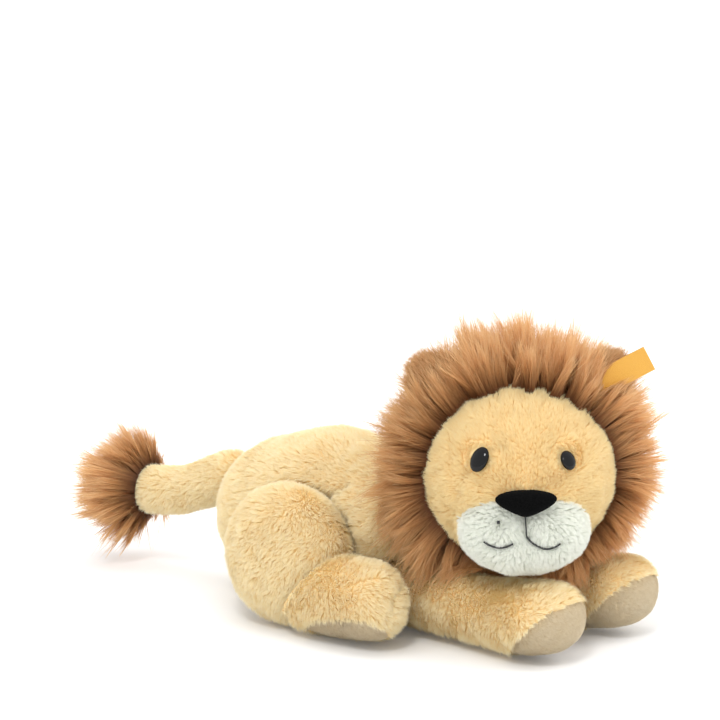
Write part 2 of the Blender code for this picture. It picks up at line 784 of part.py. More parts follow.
def make_hind_leg(side, label):
    hinge = Vector((side * HIND_HINGE_SIDE, HIND_HINGE_BEHIND, 0))
    axis = make_empty(label + "_hind_leg_axis", hinge, 0, None)
    floor = floor_knife(axis, hinge)
    thigh_place = Vector((side * THIGH_SIDE, -THIGH_AHEAD,
                          THIGH_HALF_HEIGHT - FLOOR_CUT)) - hinge
    sizes = (THIGH_HALF_WIDTH, THIGH_HALF_LENGTH, THIGH_HALF_HEIGHT)
    thigh = ball_form(label + "_thigh_form", thigh_place, sizes,
                      THIGH_SEGMENTS, THIGH_RINGS, axis)
    core = ball_form(label + "_thigh_core", thigh_place, sizes,
                     FILLING_SIDES, FILLING_RINGS, axis)
    cover = make_cover(thigh, label + "_thigh", PLUSH)
    filling = make_filling(core, label + "_thigh_filling")
    opening = rod(label + "_thigh_opening", thigh_place,
                  thigh_place - Vector((side * THIGH_HALF_WIDTH * 2, 0, 0)),
                  FILL_OPENING_RADIUS, axis)
    cut(cover, floor)
    cut(filling, floor)
    cut(cover, opening)

    heel = Vector((side * FOOT_HEEL_SIDE, -FOOT_HEEL_AHEAD, 0)) - hinge
    toe = Vector((side * FOOT_TOE_SIDE, -FOOT_TOE_AHEAD, 0)) - hinge
    stations = []
    for along, wide, high, rise in FOOT_SHARES:
        place = between(heel, toe, along)
        place.z = FOOT_HALF_HEIGHT * high + FOOT_TOE_RISE * rise - FLOOR_CUT
        stations.append((place, FOOT_HALF_WIDTH * wide, FOOT_HALF_HEIGHT * high))
    caps = (FOOT_HEEL_CAP, FOOT_TOE_CAP)
    foot = stuffed_form(label + "_hind_foot_form", stations, FOOT_STEPS, FOOT_SIDES,
                        caps, axis)
    core = stuffed_form(label + "_hind_foot_core", stations, FOOT_STEPS, FILLING_SIDES,
                        caps, axis)
    thigh_room = swollen(thigh, SEAM_GAP)
    foot_cover = make_cover(foot, label + "_hind_foot", PLUSH)
    foot_filling = make_filling(core, label + "_hind_foot_filling")
    for piece in (foot_cover, foot_filling):
        cut(piece, floor)
        cut(piece, thigh_room)
    level = math.cos(HIND_SOLE_PITCH)
    outward = Vector((side * math.sin(HIND_SOLE_ROLL) * level, -math.sin(HIND_SOLE_PITCH),
                      -math.cos(HIND_SOLE_ROLL) * level))
    through = Vector((side * HIND_SOLE_SIDE, -HIND_SOLE_AHEAD, HIND_SOLE_LIFT)) - hinge
    make_sole(foot, foot_cover, label + "_hind_sole", through, outward, axis, floor)
    return thigh, foot


def make_tail():
    rump_high = TORSO_HEIGHT / 2 * TORSO_SHARES[-1][2]
    rump_lift = TORSO_HEIGHT * TORSO_SHARES[-1][3] - FLOOR_CUT
    rise = (TAIL_ROOT_LIFT - rump_lift) / rump_high
    rump_start = TORSO_BEHIND - (TORSO_AHEAD + TORSO_BEHIND) * (1 - TORSO_SHARES[-1][0])
    root = Vector((0, rump_start + RUMP_DEPTH * math.sqrt(1 - rise * rise) + TAIL_STAND_OFF,
                   TAIL_ROOT_LIFT))
    end = Vector((0, TAIL_END_BEHIND, TAIL_END_LIFT)) - root
    axis = make_empty("tail_axis", root, 0, None)
    stations = [(Vector((0, 0, 0)), TAIL_ROOT_RADIUS, TAIL_ROOT_RADIUS)]
    for along, drop in TAIL_SHARES:
        stations.append((Vector((0, end.y * along, end.z * drop)), TAIL_RADIUS, TAIL_RADIUS))
    stations.append((end, TAIL_RADIUS, TAIL_RADIUS))
    caps = (TAIL_ROOT_RADIUS, TAIL_RADIUS)
    form = stuffed_form("tail_form", stations, TAIL_STEPS, TAIL_SIDES, caps, axis)
    core = stuffed_form("tail_core", stations, TAIL_STEPS, FILLING_SIDES, caps, axis)
    cover = make_cover(form, "tail", PLUSH)
    make_filling(core, "tail_filling")
    opening = rod("tail_opening", Vector((0, -TAIL_ROOT_RADIUS / 2, 0)),
                  Vector((0, -TAIL_ROOT_RADIUS * 2, 0)), FILL_OPENING_RADIUS, axis)
    cut(cover, opening)
    make_tuft(axis, root, form)
    return form


def make_tuft(tail_axis, root, tail_form):
    seam = Vector((0, TAIL_END_BEHIND, TAIL_END_LIFT))
    axis = make_empty("tuft_axis", seam - root, 0, tail_axis)
    start = Vector((0, TUFT_START_BEHIND, TAIL_END_LIFT)) - seam
    end = Vector((0, TUFT_END_BEHIND, TUFT_END_LIFT)) - seam
    length = TUFT_END_BEHIND - TUFT_START_BEHIND
    reach = between(start, end, (length - TUFT_END_CAP) / length)
    stations = [(start, TUFT_BASE_RADIUS, TUFT_BASE_RADIUS)]
    for along, wide in TUFT_SHARES:
        place = between(start, end, along)
        if place.y < reach.y:
            stations.append((place, TUFT_HALF_WIDTH * wide, TUFT_HALF_WIDTH * wide))
    tuft = stuffed_form("tail_tuft", stations, TUFT_STEPS, TUFT_LOCKS * TUFT_SIDES_PER_LOCK,
                        (0, (end - stations[-1][0]).length), axis, TUFT_LOCKS,
                        TUFT_LOCK_DEPTH)
    tail_room = swollen(tail_form, SWING_GAP)
    cut(tuft, tail_room)
    finish_piece(tuft, MANE_PLUSH)


def make_torso(form, part_forms, swung_rooms):
    """Cut the torso clear of the floor and of the head and limbs that meet it."""
    cover = make_cover(form, "torso_cover", PLUSH)
    core = make_torso_form("torso_core", TORSO_FILLING_SIDES)
    filling = make_filling(core, "torso_filling")
    knives = [floor_knife(None, Vector((0, 0, 0)))]
    knives += [swollen(part_form, SWING_GAP) for part_form in part_forms]
    for knife in knives:
        cut(cover, knife)
        cut(filling, knife)
    for room in swung_rooms:
        cut(cover, room)


def main():
    torso_form = make_torso_form("torso_form", TORSO_SIDES)
    head_axis = make_empty("head_axis", Vector((HEAD_LEFT, -HEAD_AHEAD, HEAD_LIFT)),
                           HEAD_TURN, None)
    part_forms = [make_head(head_axis, torso_form)]
    swung_rooms = []
    for side, label in ((-1, "right"), (1, "left")):
        front_leg = make_front_leg(side, label)
        part_forms.append(front_leg)
        swung_rooms.append(swung_room(front_leg, side * FRONT_LEG_SWING))
        part_forms.extend(make_hind_leg(side, label))
    part_forms.append(make_tail())
    make_torso(torso_form, part_forms, swung_rooms)
    bpy.context.view_layer.update()


main()
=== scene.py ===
"""Looks of a plush lion: stuffed skins, short pile, a long-haired mane and a studio."""
from collections import namedtuple
from contextlib import contextmanager
import math

import bmesh
import bpy
import numpy as np
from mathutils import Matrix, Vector
from mathutils.bvhtree import BVHTree
from mathutils.kdtree import KDTree


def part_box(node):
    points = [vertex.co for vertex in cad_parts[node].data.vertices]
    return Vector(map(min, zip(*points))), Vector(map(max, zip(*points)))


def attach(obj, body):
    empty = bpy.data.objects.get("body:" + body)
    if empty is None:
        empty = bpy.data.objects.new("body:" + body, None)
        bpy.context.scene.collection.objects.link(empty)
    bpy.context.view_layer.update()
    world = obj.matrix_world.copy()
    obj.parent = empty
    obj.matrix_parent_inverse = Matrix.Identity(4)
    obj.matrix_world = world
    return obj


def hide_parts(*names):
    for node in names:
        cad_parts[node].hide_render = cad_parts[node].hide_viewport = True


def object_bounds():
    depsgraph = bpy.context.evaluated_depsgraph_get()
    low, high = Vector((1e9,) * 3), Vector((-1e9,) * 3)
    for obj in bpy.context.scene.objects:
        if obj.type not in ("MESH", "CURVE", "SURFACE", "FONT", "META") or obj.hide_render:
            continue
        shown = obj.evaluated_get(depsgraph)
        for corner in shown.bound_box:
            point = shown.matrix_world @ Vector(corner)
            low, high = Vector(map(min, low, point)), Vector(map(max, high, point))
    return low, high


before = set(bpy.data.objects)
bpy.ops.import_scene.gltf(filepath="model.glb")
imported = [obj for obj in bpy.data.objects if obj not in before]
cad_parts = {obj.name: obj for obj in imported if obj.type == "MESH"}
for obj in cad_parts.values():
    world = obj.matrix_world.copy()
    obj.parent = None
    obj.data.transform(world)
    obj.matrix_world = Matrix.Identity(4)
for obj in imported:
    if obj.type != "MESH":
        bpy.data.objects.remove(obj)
cad_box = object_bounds()

SEED = 7
MM = 0.001
SIDES = ("right", "left")

# The photograph's camera
PHOTO_SIDE = 720
PIXEL = 0.63 * MM
AZIMUTH = math.radians(-54)
ELEVATION = math.radians(13.5)
DISTANCE = 5.0
ORIGIN_PIXEL = (351.1, 603.9)
SENSOR = 36

# Skins under the pile
VOXEL = 2.6 * MM
SMOOTHING = 12
PILE_DEPTH = 3.4 * MM

# The head, seen from its own upright axis
HEAD_PLACE = np.array((-5.0, -131.5, 107.0)) * MM
HEAD_TURN = math.radians(-50.5)
HEAD_RADIUS = 59 * MM
HEAD_HALF_HEIGHT = 54 * MM
HEAD_SIZES = np.array((HEAD_RADIUS, HEAD_RADIUS, HEAD_HALF_HEIGHT))

MUZZLE_HALF_WIDTH = 39.0 * MM
MUZZLE_HALF_HEIGHT = 25.5 * MM
MUZZLE_DROP = 28 * MM

TAIL_END = np.array((0.0, 158.0, 51.0)) * MM
TAIL_RADIUS = 16.2 * MM

# Mouth and whisker stitches, in the photograph's pixels
PHILTRUM = ((525, 515), (525.5, 522), (526, 530), (526.5, 536.5))
RIGHT_SMILE = ((526.5, 536.5), (531, 541.5), (538, 546), (546, 548.6), (554, 547.2),
               (560, 543.5))
LEFT_SMILE = ((484.5, 541.5), (490, 545), (497.5, 547.3), (505, 547), (513, 543.8))
WHISKER_DOT = (499, 523)
DIMPLE = (555, 525)
BRIDGE = ((521, 446), (522, 466), (523, 484))
RIGHT_HOLLOW = (498, 449)
LEFT_HOLLOW = (552, 450)
CHEEK_FOLD = ((470, 472), (464, 482), (460, 494), (456, 512), (455, 528))

# Folds of the body, in the photograph's pixels
FLANK_TUCK = ((320, 520), (326, 506), (336, 495), (348, 488))
FLANK_LIP = ((330, 526), (336, 512), (344, 502), (354, 497))
THIGH_DENT = ((262, 484), (269, 486), (277, 483))
FOOT_SEAM = ((402, 584), (394, 596), (389, 612))

# Each fold's line, how wide it is and how deep. Two equal points are a spot, and a ridge has
# a negative depth
FACE_FOLDS = (
    (PHILTRUM, 3.2 * MM, 2.0 * MM), (RIGHT_SMILE, 3.2 * MM, 2.0 * MM),
    (LEFT_SMILE, 3.2 * MM, 2.0 * MM), ((WHISKER_DOT, WHISKER_DOT), 4.5 * MM, 1.8 * MM),
    ((DIMPLE, DIMPLE), 4.5 * MM, 1.8 * MM), (BRIDGE, 11.0 * MM, -2.6 * MM),
    ((RIGHT_HOLLOW, RIGHT_HOLLOW), 7.0 * MM, 3.0 * MM),
    ((LEFT_HOLLOW, LEFT_HOLLOW), 7.0 * MM, 2.2 * MM), (CHEEK_FOLD, 4.5 * MM, 1.5 * MM))
FLANK_FOLDS = ((FLANK_TUCK, 4.0 * MM, 4.0 * MM), (FLANK_LIP, 4.0 * MM, -2.5 * MM))
THIGH_FOLDS = ((THIGH_DENT, 5.0 * MM, 2.5 * MM),)
FOOT_FOLDS = ((FOOT_SEAM, 2.6 * MM, 2.4 * MM),)
STITCH_RADIUS = 0.62 * MM
FINE_STITCH_RADIUS = 0.45 * MM


def random_source(number):
    return np.random.default_rng(SEED * 1000 + number)


def unit(vectors):
    return vectors / (np.linalg.norm(vectors, axis=-1, keepdims=True) + 1e-12)


def between(low, high, share):
    return low + (high - low) * share


def smooth_step(low, high, values):
    share = np.clip((values - low) / (high - low), 0, 1)
    return share * share * (3 - 2 * share)


class Swirl:
    """A soft random field over space, about -1 to 1, from a few slanted waves."""

    def __init__(self, size, number, waves=7):
        rng = random_source(number)
        self.waves = unit(rng.normal(size=(waves, 3))) * rng.uniform(0.6, 1.5, (waves, 1))
        self.waves *= math.tau / size
        self.phases = rng.uniform(0, math.tau, waves)

    def at(self, points):
        return np.sin(points @ self.waves.T + self.phases).mean(axis=1) * 1.9


# Camera maths

RIGHT = np.array((math.cos(AZIMUTH), math.sin(AZIMUTH), 0))
LEVEL = np.array((-math.sin(AZIMUTH), math.cos(AZIMUTH), 0))
AHEAD = LEVEL * math.cos(ELEVATION) - np.array((0, 0, math.sin(ELEVATION)))
UP = LEVEL * math.sin(ELEVATION) + np.array((0, 0, math.cos(ELEVATION)))
AIM = ((PHOTO_SIDE / 2 - ORIGIN_PIXEL[0]) * PIXEL * RIGHT
       + (ORIGIN_PIXEL[1] - PHOTO_SIDE / 2) * PIXEL * UP)
EYE_POINT = AIM - AHEAD * DISTANCE


def on_surface(pixel, tree):
    """Where the camera's ray through a pixel meets a skin, and which way it faces there."""
    across, down = ((number - PHOTO_SIDE / 2) * PIXEL for number in pixel)
    ray = Vector(AHEAD * DISTANCE + across * RIGHT - down * UP).normalized()
    place, normal, _, _ = tree.ray_cast(Vector(EYE_POINT), ray)
    if place is None:
        return None, None
    return np.array(place), np.array(normal)


HEAD_AXES = np.array(((math.cos(HEAD_TURN), -math.sin(HEAD_TURN), 0),
                      (math.sin(HEAD_TURN), math.cos(HEAD_TURN), 0), (0, 0, 1)))


def from_head(points):
    """Points of the head's own frame, with the face along -Y, in the row frame."""
    return points @ HEAD_AXES.T


def to_head(points):
    return (points - HEAD_PLACE) @ HEAD_AXES


# Materials

class Value(namedtuple("Value", "shader socket")):
    """A node's output, which can be multiplied."""

    def __mul__(self, other):
        return self.shader.node("ShaderNodeMath", {"operation": "MULTIPLY"},
                                {0: self, 1: other})


class Finish:
    """The shader of a material or world, and the one way in which its nodes are added."""

    def __init__(self, owner, surface, end, **constants):
        owner.use_nodes = True
        self.owner = owner
        self.tree = owner.node_tree
        self.surface = self.tree.nodes[surface]
        self.end = self.tree.nodes[end]
        self.own = Value(self, self.surface.outputs[0])
        for socket, value in constants.items():
            self.feed(socket.replace("_", " "), value)

    def node(self, kind, settings=None, inputs=None, output=0):
        made = self.tree.nodes.new(kind)
        for setting, value in (settings or {}).items():
            setattr(made, setting, value)
        for socket, value in (inputs or {}).items():
            self.connect(made.inputs[socket], value)
        return Value(self, made.outputs[output])

    def connect(self, socket, value):
        if isinstance(value, Value):
            self.tree.links.new(value.socket, socket)
        else:
            socket.default_value = value

    def feed(self, socket, value):
        self.connect(self.surface.inputs[socket], value)

    def ramp(self, factor, stops):
        """Colours by a factor. A stop is a place and its colour."""
        made = self.node("ShaderNodeValToRGB", inputs={0: factor})
        elements = made.socket.node.color_ramp.elements
        while len(elements) < len(stops):
            elements.new(0.5)
        for element, (place, *colour) in zip(elements, stops):
            element.position = place
            element.color = (*colour, 1)
        return made

    def noise(self, scale, detail):
        place = self.node("ShaderNodeTexCoord", output=3)
        return self.node("ShaderNodeTexNoise", inputs={
            "Vector": place, "Scale": scale, "Detail": detail})

    def bump(self, height, strength, distance):
        self.feed("Normal", self.node("ShaderNodeBump", inputs={
            "Strength": strength, "Distance": distance, "Height": height}))

    def end_with(self, kind, inputs):
        """Put one more shader before the output."""
        self.connect(self.end.inputs[0], self.node(kind, inputs=inputs))


def new_finish(name, **constants):
    return Finish(bpy.data.materials.new(name), "Principled BSDF", "Material Output",
                  **constants)


THROUGH_SHARE = 0.50


def pile_finish(name, stops, shades, **constants):
    """Fibres coloured from root to tip, each with its own shade, that let light through."""
    finish = new_finish(name, **constants)
    place = finish.node("ShaderNodeUVMap", {"uv_map": "OFBake"})
    across, along = (finish.node("ShaderNodeSeparateXYZ", inputs={0: place}, output=number)
                     for number in (0, 1))
    colour = finish.node("ShaderNodeMix", {"data_type": "RGBA", "blend_type": "MULTIPLY"},
                         {0: 1.0, 6: finish.ramp(along, stops),
                          7: finish.ramp(across, shades)}, 2)
    finish.feed("Base Color", colour)
    through = finish.node("ShaderNodeBsdfTranslucent", inputs={"Color": colour})
    finish.end_with("ShaderNodeMixShader", {0: THROUGH_SHARE, 1: finish.own, 2: through})
    return finish.owner


def speckled_finish(name, scale, detail, dark, light, bump=None, **constants):
    """Two colours over a fine noise, which may be a bump as well."""
    finish = new_finish(name, **constants)
    speckle = finish.noise(scale, detail)
    finish.feed("Base Color", finish.ramp(speckle, (dark, light)))
    if bump:
        finish.bump(speckle, *bump)
    return finish.owner


def backing_finish(name, dark, light, scale=220.0, Roughness=0.95, **constants):
    """Knitted backing between the roots of a pile."""
    return speckled_finish(name, scale, 4.0, (0.35, *dark), (0.65, *light),
                           (0.5, 0.4 * MM), Roughness=Roughness, **constants)


# Each pile's stops run from a darker, more saturated root to a paler tip: painted shade from
# deep in the pile
PLUSH = {"Roughness": 0.85, "Sheen_Weight": 0.15, "Sheen_Roughness": 0.5,
         "Specular_IOR_Level": 0.1}
TAN_SHADES = ((0.0, 0.88, 0.82, 0.73), (0.5, 0.98, 0.965, 0.94), (1.0, 1.0, 1.0, 1.0))
TAN_PILE = pile_finish(
    "tan_pile", ((0.0, 0.92, 0.69, 0.33), (0.4, 0.98, 0.87, 0.56), (0.8, 0.99, 0.93, 0.71),
                 (1.0, 1.00, 0.96, 0.79)), TAN_SHADES, **PLUSH)
# The face's fur is a darker, more saturated copy of the tan pile: painted shade over the face
SHADED_FACE_FUR = pile_finish(
    "shaded_face_fur", ((0.0, 0.91, 0.65, 0.28), (0.4, 0.96, 0.81, 0.46), (0.8, 0.98, 0.88, 0.58),
                 (1.0, 0.99, 0.91, 0.65)), TAN_SHADES, **PLUSH)
MANE_HAIR = pile_finish(
    "mane_hair", ((0.0, 0.11, 0.042, 0.017), (0.2, 0.32, 0.140, 0.054),
                  (0.5, 0.66, 0.36, 0.150), (0.8, 0.83, 0.53, 0.260), (1.0, 0.94, 0.70, 0.42)),
    ((0.0, 0.70, 0.63, 0.55), (0.5, 0.94, 0.92, 0.89), (1.0, 1.0, 1.0, 1.0)),
    Roughness=0.55, Specular_IOR_Level=0.25)
EAR_PILE = pile_finish(
    "ear_pile", ((0.0, 0.36, 0.17, 0.065), (0.5, 0.62, 0.35, 0.15), (1.0, 0.86, 0.59, 0.32)),
    ((0.0, 0.78, 0.72, 0.66), (1.0, 1.0, 1.0, 1.0)), Roughness=0.6, Specular_IOR_Level=0.3)
WHITE_PILE = pile_finish(
    "white_pile", ((0.0, 0.82, 0.83, 0.77), (0.5, 0.95, 0.96, 0.90), (1.0, 0.99, 0.99, 0.95)),
    ((0.0, 0.92, 0.93, 0.91), (1.0, 1.0, 1.0, 1.0)), Roughness=0.85, Specular_IOR_Level=0.2)
SOLE_PILE = pile_finish(
    "sole_pile", ((0.0, 0.72, 0.62, 0.42), (0.5, 0.82, 0.73, 0.55), (1.0, 0.88, 0.80, 0.64)),
    ((0.0, 0.88, 0.85, 0.80), (1.0, 1.0, 1.0, 1.0)), Roughness=0.8, Sheen_Weight=0.15)
TAN_BACKING = backing_finish("tan_backing", (0.93, 0.71, 0.36), (0.97, 0.82, 0.49))
BROWN_BACKING = backing_finish("brown_backing", (0.09, 0.035, 0.014), (0.18, 0.075, 0.03))
WHITE_BACKING = backing_finish("white_backing", (0.86, 0.87, 0.82), (0.94, 0.94, 0.90))
SOLE_BACKING = backing_finish("sole_backing", (0.70, 0.58, 0.39), (0.87, 0.77, 0.58),
                              400.0, Roughness=0.9, Sheen_Weight=0.3)
VELVET = speckled_finish(
    "black_velvet", 1600.0, 2.0, (0.3, 0.001, 0.001, 0.001), (0.75, 0.005, 0.005, 0.005),
    (0.35, 0.25 * MM), Roughness=0.9, Sheen_Weight=0.01, Sheen_Roughness=0.6,
    Specular_IOR_Level=0.03)
EYE_GLOSS = speckled_finish(
    "eye_plastic", 90.0, 1.0, (0.35, 0.002, 0.002, 0.002), (0.8, 0.006, 0.005, 0.004),
    Roughness=0.06, Specular_IOR_Level=0.30)
WASHER = speckled_finish(
    "washer_plastic", 140.0, 3.0, (0.3, 0.80, 0.80, 0.78), (0.7, 0.88, 0.88, 0.86),
    Roughness=0.5)
THREAD = speckled_finish(
    "black_thread", 1800.0, 2.0, (0.3, 0.005, 0.005, 0.006), (0.7, 0.03, 0.028, 0.03),
    (0.6, 0.2 * MM), Roughness=0.6, Sheen_Weight=0.1)


def ribbon_finish():
    finish = new_finish("ribbon", Roughness=0.55, Sheen_Weight=0.15)
    place = finish.node("ShaderNodeUVMap", {"uv_map": "weave"})
    weft, warp = (finish.node("ShaderNodeTexWave", {"bands_direction": way},
                              {"Vector": place, "Scale": scale, "Distortion": 0.4})
                  for way, scale in (("X", 30.0), ("Y", 22.0)))
    weave = weft * warp
    finish.feed("Base Color", finish.ramp(weave, ((0.0, 0.70, 0.35, 0.040),
                                                  (0.6, 0.80, 0.43, 0.070))))
    finish.bump(weave, 0.4, 0.2 * MM)
    return finish.owner


RIBBON = ribbon_finish()


# Skins

def new_object(name, data, material=None):
    piece = bpy.data.objects.new(name, data)
    bpy.context.scene.collection.objects.link(piece)
    if material:
        data.materials.append(material)
    return piece


@contextmanager
def edited(mesh):
    """A mesh as a BMesh, written back at the end."""
    working = bmesh.new()
    working.from_mesh(mesh)
    yield working
    working.to_mesh(mesh)
    working.free()


def joined_nodes(name, nodes, open_node):
    """Some nodes in one mesh. The one that is open at a seam is closed by its hull."""
    mesh = bpy.data.meshes.new(name)
    with edited(mesh) as working:
        if open_node:
            working.from_mesh(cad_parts[open_node].data)
            hull = bmesh.ops.convex_hull(working, input=working.verts)
            inner = [item for item in hull["geom_interior"]
                     if isinstance(item, bmesh.types.BMVert)]
            bmesh.ops.delete(working, geom=inner, context="VERTS")
        for node in nodes:
            if node != open_node:
                working.from_mesh(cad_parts[node].data)
    return mesh


def keep_outer_shell(mesh):
    """Keep the connected piece with the largest box. What is inside it goes."""
    def reach(shell):
        points = np.array([vert.co for vert in shell])
        return np.prod(points.max(0) - points.min(0))

    with edited(mesh) as working:
        left = set(working.verts)
        shells = []
        while left:
            shell = [left.pop()]
            for vert in shell:
                for edge in vert.link_edges:
                    near = edge.other_vert(vert)
                    if near in left:
                        left.remove(near)
                        shell.append(near)
            shells.append(shell)
        for shell in sorted(shells, key=reach)[:-1]:
            bmesh.ops.delete(working, geom=shell, context="VERTS")


def evaluated_mesh(piece, name):
    depsgraph = bpy.context.evaluated_depsgraph_get()
    mesh = bpy.data.meshes.new_from_object(piece.evaluated_get(depsgraph))
    mesh.name = name
    return mesh


def paint(mesh, material):
    mesh.materials.clear()
    mesh.materials.append(material)


def settle(piece, name, material):
    """Make a piece's modifiers part of its mesh, and give it a smooth finish."""
    piece.data = evaluated_mesh(piece, name)
    piece.modifiers.clear()
    paint(piece.data, material)
    piece.data.shade_smooth()
    return piece


def make_skin(name, nodes, material, draw_in=PILE_DEPTH, voxel=VOXEL, smoothing=SMOOTHING,
              open_node=None):
    """One even, soft skin round some CAD nodes, drawn in by the depth of its pile."""
    rough = new_object(name + "_rough", joined_nodes(name, nodes, open_node))
    even = rough.modifiers.new("even", "REMESH")
    even.mode = "VOXEL"
    even.voxel_size = voxel
    shell = evaluated_mesh(rough, name)
    bpy.data.objects.remove(rough)
    keep_outer_shell(shell)
    skin = new_object(name, shell)
    soft = skin.modifiers.new("soft", "SMOOTH")
    soft.factor = 0.5
    soft.iterations = smoothing
    inward = skin.modifiers.new("inward", "DISPLACE")
    inward.mid_level = 0
    inward.strength = -draw_in
    return settle(skin, name, material)


def values_of(items, field, width=3, kind=float):
    """One field of a mesh's items, a row for each."""
    values = np.empty(len(items) * width, kind)
    items.foreach_get(field, values)
    return values.reshape(-1, width)


def points_of(piece):
    return values_of(piece.data.vertices, "co")


def normals_of(piece):
    return values_of(piece.data.vertex_normals, "vector")


def move_points(piece, points):
    piece.data.vertices.foreach_set("co", points.ravel())
    piece.data.update()


def line_distance(points, line):
    """Distance of each point to a line of points."""
    best = np.full(len(points), np.inf)
    line = np.asarray(line, float)
    for start, end in zip(line, line[1:]):
        way = end - start
        share = np.clip((points - start) @ way / (way @ way + 1e-12), 0, 1)
        gap = np.linalg.norm(points - start - share[:, None] * way, axis=1)
        best = np.minimum(best, gap)
    return best


def crease(piece, line, width, depth):
    """Press a soft valley into a skin along a line, or raise a ridge for a negative depth."""
    points = points_of(piece)
    away = line_distance(points, line) / width
    move_points(piece, points - normals_of(piece) * (depth * np.exp(-away * away))[:, None])


def tree_of(piece):
    mesh = piece.data
    return BVHTree.FromPolygons([vert.co for vert in mesh.vertices],
                                [tuple(face.vertices) for face in mesh.polygons])


def node_tree(node):
    return tree_of(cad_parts[node])


PROBE = Vector((0.31, 0.17, 0.93)).normalized()


def inside(points, tree, depth=0.0):
    """Which points lie in a closed skin by more than a depth."""
    found = np.zeros(len(points), bool)
    for index, point in enumerate(points):
        start = Vector(point)
        crossings = 0
        place = tree.ray_cast(start, PROBE)[0]
        while place:
            crossings += 1
            place = tree.ray_cast(place + PROBE * 0.01 * MM, PROBE)[0]
        if crossings % 2:
            found[index] = tree.find_nearest(start)[3] > depth
    return found


def split_off(piece, name, chosen, material):
    """Take the chosen faces from a skin into a piece of their own."""
    mesh = piece.data.copy()
    mesh.name = name
    for part, unwanted in ((piece.data, True), (mesh, False)):
        with edited(part) as working:
            gone = [face for face, take in zip(working.faces, chosen) if take == unwanted]
            bmesh.ops.delete(working, geom=gone, context="FACES")
    paint(mesh, material)
    mesh.shade_smooth()
    return new_object(name, mesh)


# Fibres

def scatter(piece, per_square_metre, rng, weight=None):
    """Random roots on a skin, with the skin's smooth normals there."""
    mesh = piece.data
    mesh.calc_loop_triangles()
    corners = values_of(mesh.loop_triangles, "vertices", kind=np.int64)
    points = points_of(piece)
    normals = normals_of(piece)
    a, b, c = (points[corners[:, number]] for number in range(3))
    areas = np.linalg.norm(np.cross(b - a, c - a), axis=1) / 2
    wanted = areas * per_square_metre
    if weight is not None:
        wanted = wanted * np.clip(weight((a + b + c) / 3), 0, 1)
    counts = np.floor(wanted + rng.uniform(size=len(wanted))).astype(int)
    index = np.repeat(np.arange(len(counts)), counts)
    first = rng.uniform(size=len(index))
    second = rng.uniform(size=len(index))
    over = first + second > 1
    first[over] = 1 - first[over]
    second[over] = 1 - second[over]
    shares = np.stack((1 - first - second, first, second), 1)[:, :, None]
    roots = (points[corners[index]] * shares).sum(1)
    facing = unit((normals[corners[index]] * shares).sum(1))
    return roots, facing


def nearest_of(points, centres):
    tree = KDTree(len(centres))
    for index, centre in enumerate(centres):
        tree.insert(Vector(centre), index)
    tree.balance()
    return np.array([tree.find(Vector(point))[1] for point in points], int)


def tangent(vectors, facing):
    return unit(vectors - facing * (vectors * facing).sum(1, keepdims=True))


def turned(vectors, facing, angles):
    """Vectors of the surface turned about its normal."""
    side = np.cross(facing, vectors)
    return vectors * np.cos(angles)[:, None] + side * np.sin(angles)[:, None]


CHART_STEP = 0.006
FLOOR_ROOM = 0.3 * MM


def fibre_mesh(name, spines, half_width, facing, shades, lift):
    """Flat tapering fibres along spines. Their flat side looks the way of the skin."""
    count, rings, _ = spines.shape
    outward = facing[:, None, :]
    along = unit(np.gradient(spines, axis=1))
    across = unit(np.cross(along, outward))
    levels = np.arange(rings - 1) / (rings - 1)
    taper = np.sqrt(1 - levels ** 1.6)
    reach = across[:, :-1] * (taper[None, :, None] * half_width[:, None, None])
    pairs = np.stack((spines[:, :-1] - reach, spines[:, :-1] + reach), 2)
    points = np.concatenate((pairs.reshape(count, -1, 3), spines[:, -1:]), 1)
    each = points.shape[1]

    quads = 2 * np.arange(rings - 2)[:, None] + np.array((0, 1, 3, 2))
    loops = np.append(quads, 2 * rings + np.array((-4, -3, -2)))
    shift = np.arange(count)[:, None]
    all_loops = (loops[None, :] + shift * each).ravel()
    all_starts = (4 * np.arange(rings - 1)[None, :] + shift * len(loops)).ravel()

    mesh = bpy.data.meshes.new(name)
    for items, field, values in ((mesh.vertices, "co", points.reshape(-1, 3)),
                                 (mesh.loops, "vertex_index", all_loops),
                                 (mesh.polygons, "loop_start", all_starts)):
        items.add(len(values))
        items.foreach_set(field, values.ravel())
    mesh.update(calc_edges=True)

    heights = np.append(np.repeat(levels, 2), 1.0)
    offsets = np.append(np.tile((-CHART_STEP, CHART_STEP), rings - 1), 0.0)
    middle = np.clip(shades, 0.01, 0.99)[:, None]
    flat = np.stack((middle + offsets[None, :], np.broadcast_to(heights, (count, each))), 2)
    chart = mesh.uv_layers.new(name="OFBake")
    chart.data.foreach_set("uv", flat.reshape(-1, 2)[all_loops].ravel())

    upright = unit(outward - along * (along * outward).sum(2, keepdims=True))
    soft = unit(upright * (1 - lift) + outward * lift)
    normals = np.concatenate((np.repeat(soft[:, :-1], 2, axis=1), soft[:, -1:]), 1)
    mesh.normals_split_custom_set_from_vertices(normals.reshape(-1, 3))
    return mesh


